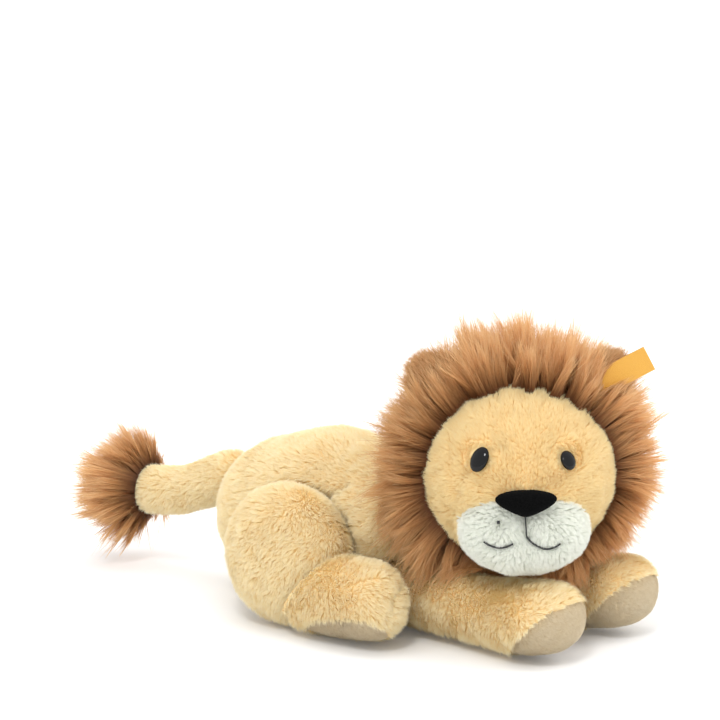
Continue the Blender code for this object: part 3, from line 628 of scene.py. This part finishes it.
# How one kind of short pile grows: fibres on a square metre, each one's length and half
# width, the size of a clump and how far its fibres gather, their lean at root and tip, how
# the clumps curl, how the shades differ, the material and the slot
Pile = namedtuple("Pile", "density length half_width clump gather lean curl shade"
                          " material slot")
BODY_PILE = Pile(3.0e6, 5.8 * MM, 0.20 * MM, 2.6 * MM, 0.36, (0.35, 1.00), 0.55, 0.09,
                 TAN_PILE, "tan_plush")
FACE_PILE = Pile(4.4e6, 4.2 * MM, 0.18 * MM, 2.1 * MM, 0.36, (0.30, 0.90), 0.55, 0.09,
                 SHADED_FACE_FUR, "tan_plush")
MUZZLE_PILE = Pile(5.0e6, 4.4 * MM, 0.17 * MM, 2.3 * MM, 0.50, (0.25, 1.00), 0.75, 0.10,
                   WHITE_PILE, "white_plush")
SOLE_NAP = Pile(5.0e6, 3.2 * MM, 0.18 * MM, 2.2 * MM, 0.30, (0.80, 1.30), 0.18, 0.12,
                SOLE_PILE, "cream_velour")
EAR_NAP = Pile(4.0e6, 13.0 * MM, 0.20 * MM, 3.4 * MM, 0.40, (0.70, 1.30), 0.30, 0.14,
               EAR_PILE, "mane_plush")
MOST_FIBRES = 66000
PILE_LIFT = 0.2
UNDER_SKIN = 5 * MM


def leaning(facing, lie, angle):
    return facing * math.cos(angle) + lie * math.sin(angle)


def grow_pile(name, skin, pile, groom, body, number, *nodes, weight=None, shorten=None,
              hidden_by=(), unwanted=None):
    """Clumped fibres over a skin. Groom gives the way that they lie at each root."""
    rng = random_source(number)
    roots, facing = scatter(skin, pile.density, rng, weight)
    for tree in hidden_by:
        open_air = ~inside(roots, tree, UNDER_SKIN)
        roots = roots[open_air]
        facing = facing[open_air]
    centres, centre_facing = scatter(skin, 1 / pile.clump ** 2, rng, weight)
    clump = nearest_of(roots, centres)
    wide = Swirl(40 * MM, number + 1)
    narrow = Swirl(11 * MM, number + 2)
    lie = tangent(groom(centres), centre_facing)
    angles = (wide.at(centres) * 0.9 + narrow.at(centres) * 0.8) * pile.curl
    angles += rng.normal(0, 0.25, len(centres)) * pile.curl
    lie = turned(lie, centre_facing, angles)
    own_lie = turned(tangent(lie[clump], facing), facing, rng.normal(0, 0.30, len(roots)))
    tone = Swirl(16 * MM, number + 3)
    grow = rng.uniform(0.72, 1.12, len(roots)) * (1 + 0.14 * tone.at(roots))
    if shorten is not None:
        grow = grow * shorten(roots)
    half = (pile.length * grow * 0.5)[:, None]
    start, end = pile.lean
    middle = roots + leaning(facing, own_lie, start) * half
    tips = middle + leaning(facing, own_lie, end) * half
    centre_low = leaning(centre_facing, lie, start)
    centre_way = (centre_low + leaning(centre_facing, lie, end)) * pile.length * 0.5
    target = centres[clump] + centre_way[clump] * grow[:, None]
    gather = pile.gather * rng.uniform(0.5, 1.2, len(roots))[:, None]
    tips = between(tips, target, gather)
    middle = between(middle, centres[clump] + centre_low[clump] * half, gather * 0.45)
    spines = np.stack((roots - facing * 0.3 * MM, middle, tips), 1)
    shades = 0.62 + tone.at(roots) * 0.10 + rng.normal(0, pile.shade, len(roots))
    shades += rng.normal(0, pile.shade, len(centres))[clump]
    half_width = pile.half_width * rng.uniform(0.7, 1.25, len(roots))
    if unwanted is not None:
        kept = ~unwanted(spines)
        spines, half_width, facing, shades = (
            values[kept] for values in (spines, half_width, facing, shades))
    spines[:, :, 2] = np.maximum(spines[:, :, 2], FLOOR_ROOM)
    dress_fibres(name, spines, half_width, facing, shades, PILE_LIFT, pile.material,
                 MOST_FIBRES, spines[:, 0, 1], body, pile.slot, *nodes)


def dress_fibres(name, spines, half_width, facing, shades, lift, material, most, along,
                 *dressing):
    """Fibres in as many pieces as keep each one small, divided by a measure of each."""
    parts = max(1, math.ceil(len(spines) / most))
    for number, chosen in enumerate(np.array_split(np.argsort(along), parts)):
        part = name if parts == 1 else f"{name}_{number + 1}"
        mesh = fibre_mesh(part, spines[chosen], half_width[chosen], facing[chosen],
                          shades[chosen], lift)
        dress(new_object(part, mesh, material), *dressing)


def dress(piece, body, slot, *nodes, fill=None):
    """Attach a finished piece to its body, and hide the CAD nodes that it replaces."""
    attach(piece, body)
    if nodes:
        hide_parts(*nodes)


# Stuffed pieces

def faces_nearer(skin, node, other):
    """Which faces of a skin lie nearer to one CAD node than to another."""
    here, there = node_tree(node), node_tree(other)
    return [here.find_nearest(face.center)[3] < there.find_nearest(face.center)[3]
            for face in skin.data.polygons]


def filled_skin(name, *more):
    return make_skin(name + "_skin", (name, name + "_filling", *more), TAN_BACKING)


skins = {"torso": make_skin("torso_skin", ("torso_cover", "torso_filling"), TAN_BACKING)}
head = make_skin("head_skin", ("head_cover", "muzzle"), TAN_BACKING, 2.0 * MM, 2.0 * MM, 7,
                 open_node="head_cover")
skins["head"] = head
skins["tail"] = filled_skin("tail")
for side in SIDES:
    skins[side + "_thigh"] = filled_skin(side + "_thigh")
    skins[side + "_hind_foot"] = filled_skin(side + "_hind_foot", side + "_hind_sole")
    skins[side + "_front_leg"] = filled_skin(side + "_front_leg", side + "_front_sole")


def lying(*way):
    """Hair that lies one way all over a skin."""
    return lambda points: points * 0 + np.array(way)


BACK_ALONG_BODY = lying(0.0, 1.0, -0.35)
ALONG_LEG = lying(*(RIGHT - np.array((0.0, 0.0, 0.6))))
DOWN_THIGH = lying(0.0, 0.35, -1.0)


def away_from_nose(points):
    """Face fur lies out from the nose, and over the rims of the eyes."""
    local = to_head(points)
    lie = local - np.array((0, -60, -8)) * MM
    lie[:, 1] *= 0.3
    lie = unit(lie)
    for eye in EYES:
        inward = eye - local
        inward[:, 1] = 0
        gap = np.where(local[:, 1] < 0, np.linalg.norm(inward, axis=1), np.inf)
        near = (1 - smooth_step(7.5 * MM, 12 * MM, gap))[:, None]
        lie = between(lie, unit(inward), near)
    return from_head(lie)


def middle_of(node):
    low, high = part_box(node)
    return (np.array(low) + np.array(high)) / 2


EYE_LEAN = math.radians(24)
EYE_SHAPES = ((0.73, 1.12), (0.65, 0.84))
EYE_SHIFTS = ((-1.2 * MM, 2.0 * MM), (-0.6 * MM, 0.7 * MM))
EYE_TURN = math.radians(13)
LID_RADIUS = 9.5 * MM
LID_WIDTH = 3.0 * MM
LID_HEIGHT = 1.6 * MM
SEWN_EYES = [to_head(middle_of("eye_" + side)[None, :])[0] for side in SIDES]
EYES = [eye + to_head((HEAD_PLACE + right * RIGHT + up * UP)[None, :])[0]
        for eye, (right, up) in zip(SEWN_EYES, EYE_SHIFTS)]


def gap_from_eyes(local):
    """How far points are from the nearer eye, seen from the front of the face."""
    gaps = [np.hypot(local[:, 0] - eye[0], local[:, 2] - eye[2]) * grow
            for eye, grow in zip(EYES, (1.0, 1.22))]
    return np.where(local[:, 1] < 0, np.minimum(*gaps), np.inf)


FACE_BACK = -4 * MM


def face_weight(points):
    """Pile on the face, with none under the eyes or the mane."""
    local = to_head(points)
    keep = np.where(local[:, 1] < FACE_BACK, 1.0, 0.0)
    return np.where(gap_from_eyes(local) < 6.4 * MM, 0.0, keep)


def face_length(points):
    local = to_head(points)
    near_eye = smooth_step(7 * MM, 12 * MM, gap_from_eyes(local))
    edge = smooth_step(-26 * MM, -9 * MM, local[:, 1])
    return between(0.80, 1.0, near_eye) * (1 + 0.6 * edge)


def belly_weight(points):
    """Thinner pile underneath, where only the backs of hands feel it."""
    return between(0.35, 1.0, smooth_step(4 * MM, 14 * MM, points[:, 2]))


def dress_stuffed(name, body, groom, number, cover=None, **how):
    """A stuffed piece and its pile."""
    dress(skins[name], body, "tan_plush", cover or name, name + "_filling", fill=0.9)
    grow_pile(name + "_pile", skins[name], BODY_PILE, groom, body, number, **how)


def dress_with_sole(limb, sole, body, number, hidden):
    """One leg or foot with its pile, and its sole with a shorter nap."""
    skin = skins[limb]
    sole_skin = split_off(skin, sole + "_skin", faces_nearer(skin, sole, limb), SOLE_BACKING)
    dress(sole_skin, body, "cream_velour", sole, fill=0.9)
    dress_stuffed(limb, body, ALONG_LEG, number, weight=belly_weight, hidden_by=hidden)
    grow_pile(sole + "_nap", sole_skin, SOLE_NAP, ALONG_LEG, body, number + 5)


def fold(piece, folds):
    """Press folds into a skin. Gives the tree of its form before them."""
    tree = tree_of(piece)
    for line, width, depth in folds:
        count = 2 if len(line) == 2 else LINE_STEPS
        crease(piece, line_on(line, tree, 0.0, count), width, depth)
    return tree


def longer_beside(tree):
    """Longer pile at the back of the hip, where it closes the seam between two pieces."""
    def shorten(points):
        gaps = np.array([tree.find_nearest(Vector(point))[3] for point in points])
        near = 1 - smooth_step(3 * MM, 11 * MM, gaps)
        behind = smooth_step(-12 * MM, 12 * MM, points[:, 1])
        return 1 + 0.7 * near * behind
    return shorten


def dress_body():
    for name, folds in (("torso", FLANK_FOLDS), ("right_thigh", THIGH_FOLDS),
                        ("right_hind_foot", FOOT_FOLDS)):
        fold(skins[name], folds)
    trees = {name: tree_of(skin) for name, skin in skins.items()}
    dress_stuffed("torso", "torso", BACK_ALONG_BODY, 10, "torso_cover", weight=belly_weight,
                  shorten=longer_beside(trees["right_thigh"]),
                  hidden_by=[tree for name, tree in trees.items() if name != "torso"])
    dress_stuffed("tail", "tail", BACK_ALONG_BODY, 20, hidden_by=[trees["torso"]])
    for number, side in enumerate(SIDES):
        body, thigh, foot, leg = (side + part for part in
                                  ("_hind_leg", "_thigh", "_hind_foot", "_front_leg"))
        dress_stuffed(thigh, body, DOWN_THIGH, 30 + number * 10, weight=belly_weight,
                      shorten=longer_beside(trees["torso"]),
                      hidden_by=[trees["torso"], trees[foot]])
        dress_with_sole(foot, side + "_hind_sole", body, 50 + number * 10,
                        [trees[thigh], trees["torso"]])
        dress_with_sole(leg, side + "_front_sole", leg, 70 + number * 10, [trees["torso"]])
    return trees


# Long hair

def spine_at(spine, shares):
    """Points of a lock's own spine at shares of its length."""
    count = spine.shape[1] - 1
    place = np.clip(shares * count, 0, count - 1e-6)
    low = np.floor(place).astype(int)
    rest = (place - low)[:, :, None]
    rows = np.arange(len(spine))[:, None]
    return spine[rows, low] * (1 - rest) + spine[rows, low + 1] * rest


class Locks(namedtuple("Locks", "roots spines tones")):
    """Roots with the run of the lock that starts at each, and each lock's own tone."""

    def followed_by(self, roots, rings, rng, pull, wander, shortest, tone, loose):
        """Finer locks that run beside these and draw together towards their tips."""
        lock = nearest_of(roots, self.roots)
        count = len(roots)
        length = rng.uniform(shortest, 1.0, count)
        shares = np.linspace(0, 1, rings)[None, :] * length[:, None]
        base = spine_at(self.spines[lock], shares)
        drawn = pull * rng.uniform(0.5, 1.2, count)
        stray = rng.uniform(size=count) < loose
        drawn[stray] = 0.0
        spread = 1 - drawn[:, None] * shares ** 1.2
        offset = (roots - self.roots[lock])[:, None, :] * spread[:, :, None]
        bend = rng.normal(0, wander, (count, 3)) * np.where(stray, 3.0, 1.0)[:, None]
        spines = base + offset + bend[:, None, :] * (shares ** 1.6)[:, :, None]
        tones = self.tones[lock] + rng.normal(0, tone, count)
        return Locks(roots, spines, tones)


def scalp_points(count, rng, low_angle):
    """Even random places on the head behind the face's edge, in the head's frame."""
    cosine = rng.uniform(-1, math.cos(low_angle), count)
    sine = np.sqrt(1 - cosine ** 2)
    round_angle = rng.uniform(-math.pi, math.pi, count)
    ways = np.stack((sine * np.sin(round_angle), -cosine, sine * np.cos(round_angle)), 1)
    sizes = HEAD_SIZES - 1.5 * MM
    wander = np.clip(Swirl(13 * MM, 211).at(ways * sizes), -1, 0.4) * EDGE_WANDER
    return (ways * sizes)[np.arccos(cosine) > low_angle + EDGE_WANDER + wander]


FACE_EDGE = math.radians(80)
EDGE_WANDER = math.radians(4)
HAIR_EDGE = FACE_EDGE - EDGE_WANDER
MANE_PROBE = 90 * MM
SHORTEST_LOCK = 34 * MM
LONGEST_LOCK = 50 * MM
HIGHEST_HAIR = 13 * MM
HAIR_LIFT = 0.3
MOST_HAIRS = 18000
COARSE_LOCKS, FINE_LOCKS, STRANDS = 1500, 9000, 146000
COARSE_TUFT_LOCKS, FINE_TUFT_LOCKS, TUFT_STRANDS = 260, 1300, 18000


def kept_in(spines):
    """Bend the tips that pass the mane's top, and keep every hair above the floor."""
    over = np.maximum(spines[:, :, 2] - cad_box[1][2], 0)
    spines[:, :, 2] -= over - HIGHEST_HAIR * np.tanh(over / HIGHEST_HAIR)
    spines[:, :, 2] = np.maximum(spines[:, :, 2], FLOOR_ROOM)
    return spines


def run_out(roots, length, rings, way_at):
    """Spines from their roots, step by step along the way at each share of their length."""
    spines = [roots]
    for ring in range(rings - 1):
        way = way_at(ring / (rings - 2))
        spines.append(spines[-1] + unit(way) * (length / (rings - 1))[:, None])
    return np.stack(spines, 1)


def mane_depth(roots, ways):
    """How deep the CAD mane is over each root, measured along the way its lock starts."""
    tree = node_tree("mane")
    depths = []
    for root, way in zip(from_head(roots) + HEAD_PLACE, from_head(ways)):
        gap = tree.ray_cast(Vector(root + way * MANE_PROBE), Vector(-way))[3]
        depths.append(MANE_PROBE - (gap or MANE_PROBE))
    return np.clip(np.array(depths), SHORTEST_LOCK, LONGEST_LOCK)


def mane_locks(roots, rng):
    """The run of each lock: out from the face's edge, then back and down."""
    facing = unit(roots / HEAD_SIZES ** 2)
    depth = np.arccos(np.clip(-roots[:, 1] / HEAD_RADIUS, -1, 1))
    rear = smooth_step(math.radians(86), math.radians(150), depth)
    upright = np.clip(roots[:, 2] / HEAD_HALF_HEIGHT, -1, 1)
    under = np.clip(-upright, 0, 1)
    beside = 1 - np.abs(upright)
    back = np.zeros_like(roots)
    back[:, 1] = 1
    back[:, 2] = -0.9 * rear
    lie = tangent(back, facing)
    lie = turned(lie, facing, Swirl(60 * MM, 205).at(roots) * 0.40
                 + rng.normal(0, 0.22, len(roots)))
    start = between(-0.20, 0.30, rear) + Swirl(28 * MM, 208).at(roots) * 0.12
    end = between(0.30 + 0.45 * beside + 0.30 * under, 1.00, rear)
    end = end + Swirl(30 * MM, 206).at(roots) * 0.20 + rng.normal(0, 0.06, len(roots))
    middle = ((start + end) / 2)[:, None]
    reach = mane_depth(roots, unit(facing * np.cos(middle) + lie * np.sin(middle)))
    length = (reach * rng.uniform(1.08, 1.32, len(roots))
              * (1 + 0.10 * (1 - under) - 0.16 * beside))
    length = length * (1 - 0.30 * under * (from_head(roots) @ RIGHT) / HEAD_RADIUS)
    sway = Swirl(48 * MM, 207).at(roots) * 0.34 + rng.normal(0, 0.24, len(roots))
    side = np.cross(facing, lie) * sway[:, None]
    curl = rng.normal(0, 0.11, roots.shape)
    droop = 0.10 + 0.45 * beside + 1.40 * under

    def way_at(share):
        angle = between(start, end, share)[:, None]
        way = facing * np.cos(angle) + lie * np.sin(angle) + curl * share
        way += side * (0.5 + 0.5 * share)
        way[:, 2] -= droop * share
        return way

    return Locks(roots, run_out(roots, length, 12, way_at),
                 rng.normal(0, 0.05, len(roots)))


def clear_of(points, tree, margin):
    """Lift points that are under a skin, or too close to it, to a margin above it."""
    flat = points.reshape(-1, 3)
    buried = inside(flat, tree)
    for index, point in enumerate(flat):
        place, normal, _, gap = tree.find_nearest(Vector(point), 40 * MM)
        if place is not None and (buried[index] or gap < margin):
            flat[index] = np.array(place + normal * margin)
    return flat.reshape(points.shape)


TAG_KEPT_CLEAR = ((603, 372), (637, 350), (645, 368), (606, 388))


def over_tag(spines):
    """Which hairs would hang in front of the ribbon tag."""
    offsets = spines - EYE_POINT
    far = offsets @ AHEAD
    across = PHOTO_SIDE / 2 + offsets @ RIGHT / far * DISTANCE / PIXEL
    down = PHOTO_SIDE / 2 - offsets @ UP / far * DISTANCE / PIXEL
    pixels = np.stack((across, down), -1)
    covered = np.ones(pixels.shape[:2], bool)
    corners = np.array(TAG_KEPT_CLEAR, float)
    for start, end in zip(corners, np.roll(corners, -1, axis=0)):
        edge = end - start
        covered &= (pixels - start) @ np.array((edge[1], -edge[0])) < 0
    nearer = (spines - middle_of("ear_tag")) @ AHEAD < 4 * MM
    return (covered & nearer).any(axis=1)


def dress_mane(trees):
    rng = random_source(200)
    cloth = make_skin("mane_cloth", ("head_cover",), BROWN_BACKING, 2.0 * MM,
                      open_node="head_cover")
    behind = to_head(points_of(cloth))[:, 1] > -math.cos(FACE_EDGE) * HEAD_RADIUS
    chosen = [not all(behind[vertex] for vertex in face.vertices)
              for face in cloth.data.polygons]
    bpy.data.objects.remove(split_off(cloth, "mane_front", chosen, BROWN_BACKING))
    dress(cloth, "head", "mane_plush", "mane")

    coarse = mane_locks(scalp_points(COARSE_LOCKS, rng, HAIR_EDGE), rng)
    fine = coarse.followed_by(scalp_points(FINE_LOCKS, rng, HAIR_EDGE), 10, rng, pull=0.20,
                              wander=4.2 * MM, shortest=0.72, tone=0.08, loose=0.05)
    spines = from_head(fine.spines.reshape(-1, 3)).reshape(fine.spines.shape) + HEAD_PLACE
    for name in ("torso", "right_front_leg", "left_front_leg"):
        spines[:, 2:] = clear_of(spines[:, 2:], trees[name], 6 * MM)
    fine = Locks(from_head(fine.roots) + HEAD_PLACE, spines, fine.tones)
    roots = from_head(scalp_points(STRANDS, rng, HAIR_EDGE)) + HEAD_PLACE
    roots = roots[~inside(roots, trees["torso"], 1 * MM)]
    hair = fine.followed_by(roots, 7, rng, pull=0.42, wander=1.8 * MM, shortest=0.66,
                            tone=0.12, loose=0.12)
    keep = ~over_tag(hair.spines)
    spines = kept_in(hair.spines[keep])
    places = hair.roots[keep] - HEAD_PLACE
    ahead = from_head(np.array((0.0, -1.0, 0.25)))
    facing = unit(unit(places) * 0.55 + ahead * 0.6
                  + np.array((0.0, 0.0, 0.25)) + RIGHT * 0.25)
    # Painted light: the mane's tone is darker towards the camera's left and lighter towards
    # its right, for how the lamps fall on it
    side = places @ RIGHT / HEAD_RADIUS
    tones = hair.tones[keep] + np.where(side < 0, 0.42, 0.30) * side
    half_width = 0.19 * MM * rng.uniform(0.6, 1.2, len(spines))
    depth = places @ from_head(np.array((0.0, 1.0, 0.0)))
    dress_fibres("mane_hair", spines, half_width, facing, 0.62 + tones, HAIR_LIFT, MANE_HAIR,
                 MOST_HAIRS, depth, "head", "mane_plush", "mane")


def tuft_points(count, rng):
    """Places on the tail's rounded end, from its middle out to the seam."""
    around = rng.uniform(0, math.tau, count)
    out = np.sqrt(rng.uniform(0, 1, count))
    roots = np.stack((np.sin(around) * out * (TAIL_RADIUS - 0.5 * MM),
                      6 * MM * (1 - out ** 2), np.cos(around) * out * TAIL_RADIUS), 1)
    return TAIL_END + np.array((0, 1.5, 0)) * MM + roots


def tuft_locks(roots, rng):
    offset = roots - TAIL_END
    offset[:, 1] = 0
    out = np.linalg.norm(offset, axis=1) / TAIL_RADIUS
    spread = unit(offset)
    flare = out ** 1.3 * 1.06 + rng.normal(0, 0.12, len(roots))
    length = between(57, 33, out ** 2.0) * rng.uniform(0.84, 1.08, len(roots)) * MM
    curl = rng.normal(0, 0.12, roots.shape)

    def way_at(share):
        angle = (flare * between(1.05, 0.55, share))[:, None]
        way = spread * np.sin(angle) + np.array((0, 1, 0)) * np.cos(angle) + curl * share
        way[:, 2] -= 0.10 * share
        return way

    return Locks(roots, run_out(roots, length, 10, way_at),
                 rng.normal(0, 0.06, len(roots)))


def dress_tuft():
    rng = random_source(300)
    cloth = make_skin("tuft_cloth", ("tail_tuft",), BROWN_BACKING, 2.0 * MM, 2.2 * MM, 20)
    points = points_of(cloth)
    start = TAIL_END[1] + 3 * MM
    points[:, 1] = start + (points[:, 1] - start) * 0.16
    points[:, [0, 2]] = TAIL_END[[0, 2]] + (points[:, [0, 2]] - TAIL_END[[0, 2]]) * 0.42
    move_points(cloth, points)
    dress(cloth, "tuft", "mane_plush", "tail_tuft")
    coarse = tuft_locks(tuft_points(COARSE_TUFT_LOCKS, rng), rng)
    fine = coarse.followed_by(tuft_points(FINE_TUFT_LOCKS, rng), 9, rng, pull=0.18,
                              wander=3.2 * MM, shortest=0.74, tone=0.08, loose=0.05)
    hair = fine.followed_by(tuft_points(TUFT_STRANDS, rng), 7, rng, pull=0.38,
                            wander=1.8 * MM, shortest=0.66, tone=0.12, loose=0.12)
    spines = kept_in(hair.spines)
    facing = spines[:, 3] - TAIL_END
    facing[:, 1] = 0
    facing = unit(unit(facing) + np.array((0, 0.35, 0)))
    half_width = 0.21 * MM * rng.uniform(0.6, 1.2, len(hair.roots))
    dress_fibres("tuft_hair", spines, half_width, facing, 0.68 + hair.tones, HAIR_LIFT,
                 MANE_HAIR, MOST_HAIRS, np.arange(len(spines)), "tuft", "mane_plush",
                 "tail_tuft")


# Face

def smoother_copy(node, name, material):
    copy = new_object(name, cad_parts[node].data.copy())
    with edited(copy.data) as working:
        bmesh.ops.remove_doubles(working, verts=working.verts, dist=0.01 * MM)
    rounder = copy.modifiers.new("round", "SUBSURF")
    rounder.levels = 2
    rounder.render_levels = 2
    return settle(copy, name, material)


def thread_tube(name, line, radius):
    """A tube of thread through points on a skin, with tucked ends."""
    curve = bpy.data.curves.new(name, "CURVE")
    curve.dimensions = "3D"
    curve.bevel_depth = radius
    curve.bevel_resolution = 3
    curve.use_fill_caps = True
    spline = curve.splines.new("POLY")
    spline.points.add(len(line) - 1)
    for point, place in zip(spline.points, line):
        point.co = (*place, 1)
    rough = new_object(name + "_curve", curve)
    tube = new_object(name, evaluated_mesh(rough, name), THREAD)
    bpy.data.objects.remove(rough)
    tube.data.shade_smooth()
    return tube


def smooth_line(points, count):
    """A smooth curve through some points."""
    points = np.asarray(points, float)
    padded = np.vstack((2 * points[0] - points[1], points, 2 * points[-1] - points[-2]))
    line = []
    for place in np.linspace(0, len(points) - 1 - 1e-9, count):
        index = int(place)
        share = place - index
        before, start, end, after = padded[index:index + 4]
        line.append(0.5 * (2 * start + (end - before) * share
                           + (2 * before - 5 * start + 4 * end - after) * share ** 2
                           + (3 * start - before - 3 * end + after) * share ** 3))
    return np.array(line)


LINE_STEPS = 26
THREAD_HEIGHT = 0.6 * MM


def line_on(pixels, tree, height, count=LINE_STEPS):
    """A line given in the photograph's pixels, laid where it meets a skin, at a height."""
    line = []
    for pixel in smooth_line(pixels, count):
        place, normal = on_surface(pixel, tree)
        if place is not None:
            line.append(place + normal * height)
    return np.array(line)


def shape_face():
    """Sewn hollows and folds of the face, and a lid round each eye."""
    tree = fold(head, FACE_FOLDS)
    points = points_of(head)
    away = (gap_from_eyes(to_head(points)) - LID_RADIUS) / LID_WIDTH
    lid = np.exp(-away * away)[:, None] * LID_HEIGHT
    move_points(head, points + normals_of(head) * lid)
    return tree


def lengthen_eye(dome, sewn, eye, squeeze, stretch):
    """Turn the dome ahead and stretch it along a line that leans to the face's middle."""
    local = to_head(points_of(dome)) - sewn
    turn = math.copysign(EYE_TURN, -eye[0])
    local[:, :2] = local[:, :2] @ np.array(((math.cos(turn), math.sin(turn)),
                                            (-math.sin(turn), math.cos(turn))))
    lean = -math.copysign(EYE_LEAN, eye[0])
    along = np.array((math.sin(lean), 0, math.cos(lean)))
    across = np.array((math.cos(lean), 0, -math.sin(lean)))
    local += np.outer(local @ along, along) * (stretch - 1)
    local += np.outer(local @ across, across) * (squeeze - 1)
    move_points(dome, from_head(local + eye) + HEAD_PLACE)


def muzzle_faces():
    """The white cloth reaches from the nose's corners round to the chin."""
    middles = np.array([face.center for face in head.data.polygons])
    local = to_head(middles)
    across = np.abs(local[:, 0]) / MUZZLE_HALF_WIDTH
    upright = np.abs(local[:, 2] + MUZZLE_DROP) / MUZZLE_HALF_HEIGHT
    return (across ** 2.4 + upright ** 2.4 < 1) & (local[:, 1] < -35 * MM)


def dress_face():
    tree = shape_face()
    white = split_off(head, "muzzle_skin", muzzle_faces(), WHITE_BACKING)
    dress(head, "head", "tan_plush", "head_cover", "head_filling", fill=0.9)
    grow_pile("face_pile", head, FACE_PILE, away_from_nose, "head", 130,
              weight=face_weight, shorten=face_length)
    dress(white, "head", "white_plush", "muzzle", fill=0.9)
    stitches = {"philtrum_stitch": line_on(PHILTRUM, tree, THREAD_HEIGHT, 12),
                "right_smile_stitch": line_on(RIGHT_SMILE, tree, THREAD_HEIGHT),
                "left_smile_stitch": line_on(LEFT_SMILE, tree, THREAD_HEIGHT)}

    def muzzle_length(points):
        gap = np.minimum.reduce([line_distance(points, line) for line in stitches.values()])
        return between(0.36, 1.0, smooth_step(1.6 * MM, 4.5 * MM, gap))

    grow_pile("muzzle_pile", white, MUZZLE_PILE, away_from_nose, "head", 140,
              shorten=muzzle_length)
    for name, line in stitches.items():
        radius = FINE_STITCH_RADIUS if name == "philtrum_stitch" else STITCH_RADIUS
        dress(thread_tube(name, line, radius), "head", "black_velvet")
    place, normal = on_surface(WHISKER_DOT, tree)
    middle = place + normal * 1.8 * MM
    dot = thread_tube("whisker_stitch", np.array([middle - UP * MM, middle, middle + UP * MM]),
                      STITCH_RADIUS * 1.5)
    dress(dot, "head", "black_velvet")

    nose = smoother_copy("nose", "nose_pad", VELVET)
    local = to_head(points_of(nose))
    local[:, 0] = local[:, 0] * 1.06 - 1.0 * MM
    move_points(nose, from_head(local) + HEAD_PLACE)
    dress(nose, "head", "black_velvet", "nose", fill=1.0)
    for number, side in enumerate(SIDES):
        dome = smoother_copy("eye_" + side, side + "_eye_dome", EYE_GLOSS)
        lengthen_eye(dome, SEWN_EYES[number], EYES[number], *EYE_SHAPES[number])
        dress(dome, "head", "eye_plastic", "eye_" + side)
        paint(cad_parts["eye_washer_" + side].data, WASHER)
        ear = make_skin(side + "_ear_skin", ("ear_" + side,), TAN_BACKING, 0.8 * MM,
                        1.2 * MM, 6)
        dress(ear, "head", "mane_plush", "ear_" + side, fill=0.8)
        grow_pile(side + "_ear_nap", ear, EAR_NAP, lambda points: points - HEAD_PLACE, "head",
                  150 + number * 10, "ear_" + side, unwanted=over_tag)


def dress_tag():
    """The folded ribbon, left blank."""
    tag = new_object("ear_ribbon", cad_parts["ear_tag"].data.copy())
    paint(tag.data, RIBBON)
    chart = tag.data.uv_layers.new(name="weave")
    points = points_of(tag)
    middle = points.mean(0)
    _, _, axes = np.linalg.svd(points - middle)
    flat = (points - middle) @ axes[:2].T / (10 * MM)
    corners = values_of(tag.data.loops, "vertex_index", 1, np.int64)[:, 0]
    chart.data.foreach_set("uv", flat[corners].ravel())
    dress(tag, "head", "ribbon", "ear_tag")


# Studio

def make_camera():
    data = bpy.data.cameras.new("camera")
    data.sensor_width = SENSOR
    data.lens = SENSOR * DISTANCE / (PHOTO_SIDE * PIXEL)
    camera = new_object("camera", data)
    camera.location = EYE_POINT
    camera.rotation_euler = Vector(AHEAD).to_track_quat("-Z", "Y").to_euler()
    data.clip_start = 0.1
    data.clip_end = 60
    bpy.context.scene.camera = camera


def make_sun(name, right, up, back, strength, spread, glossy):
    """A soft distant lamp, placed by the camera's own right, up and back."""
    data = bpy.data.lights.new(name, "SUN")
    data.energy = strength
    data.angle = math.radians(spread)
    lamp = new_object(name, data)
    place = right * RIGHT + up * np.array((0, 0, 1)) - back * LEVEL
    lamp.rotation_euler = Vector(-place).to_track_quat("-Z", "Y").to_euler()
    lamp.location = place
    lamp.visible_glossy = glossy


def make_studio():
    make_camera()
    make_sun("key_lamp", -0.20, 1.15, 1.00, 0.85, 12, True)
    make_sun("side_lamp", 1.30, 1.10, -0.10, 0.85, 40, False)
    make_sun("top_lamp", -0.10, 1.50, 0.05, 0.55, 40, False)

    world = bpy.data.worlds.new("studio")
    bpy.context.scene.world = world
    sky = Finish(world, "Background", "World Output", Color=(0.98, 0.99, 1, 1), Strength=1.08)
    seen = sky.node("ShaderNodeBackground", inputs={"Color": (1, 1, 1, 1)})
    view = sky.node("ShaderNodeLightPath")
    sky.end_with("ShaderNodeMixShader", {0: view, 1: sky.own, 2: seen})

    finish = new_finish("studio_floor", Roughness=0.9, Specular_IOR_Level=0.0)
    finish.feed("Base Color", (0.90, 0.90, 0.90, 1))
    view = finish.node("ShaderNodeLightPath")
    glow = finish.node("ShaderNodeEmission",
                       inputs={"Color": (1, 1, 1, 1), "Strength": view * 0.05})
    finish.end_with("ShaderNodeAddShader", {0: finish.own, 1: glow})
    mesh = bpy.data.meshes.new("floor")
    with edited(mesh) as working:
        bmesh.ops.create_grid(working, x_segments=8, y_segments=8, size=14)
    floor = new_object("floor", mesh, finish.owner)
    floor.location = (0, 0, -0.0002)
    bpy.context.scene.view_settings.view_transform = "Standard"


skin_trees = dress_body()
dress_face()
dress_mane(skin_trees)
dress_tuft()
dress_tag()
make_studio()
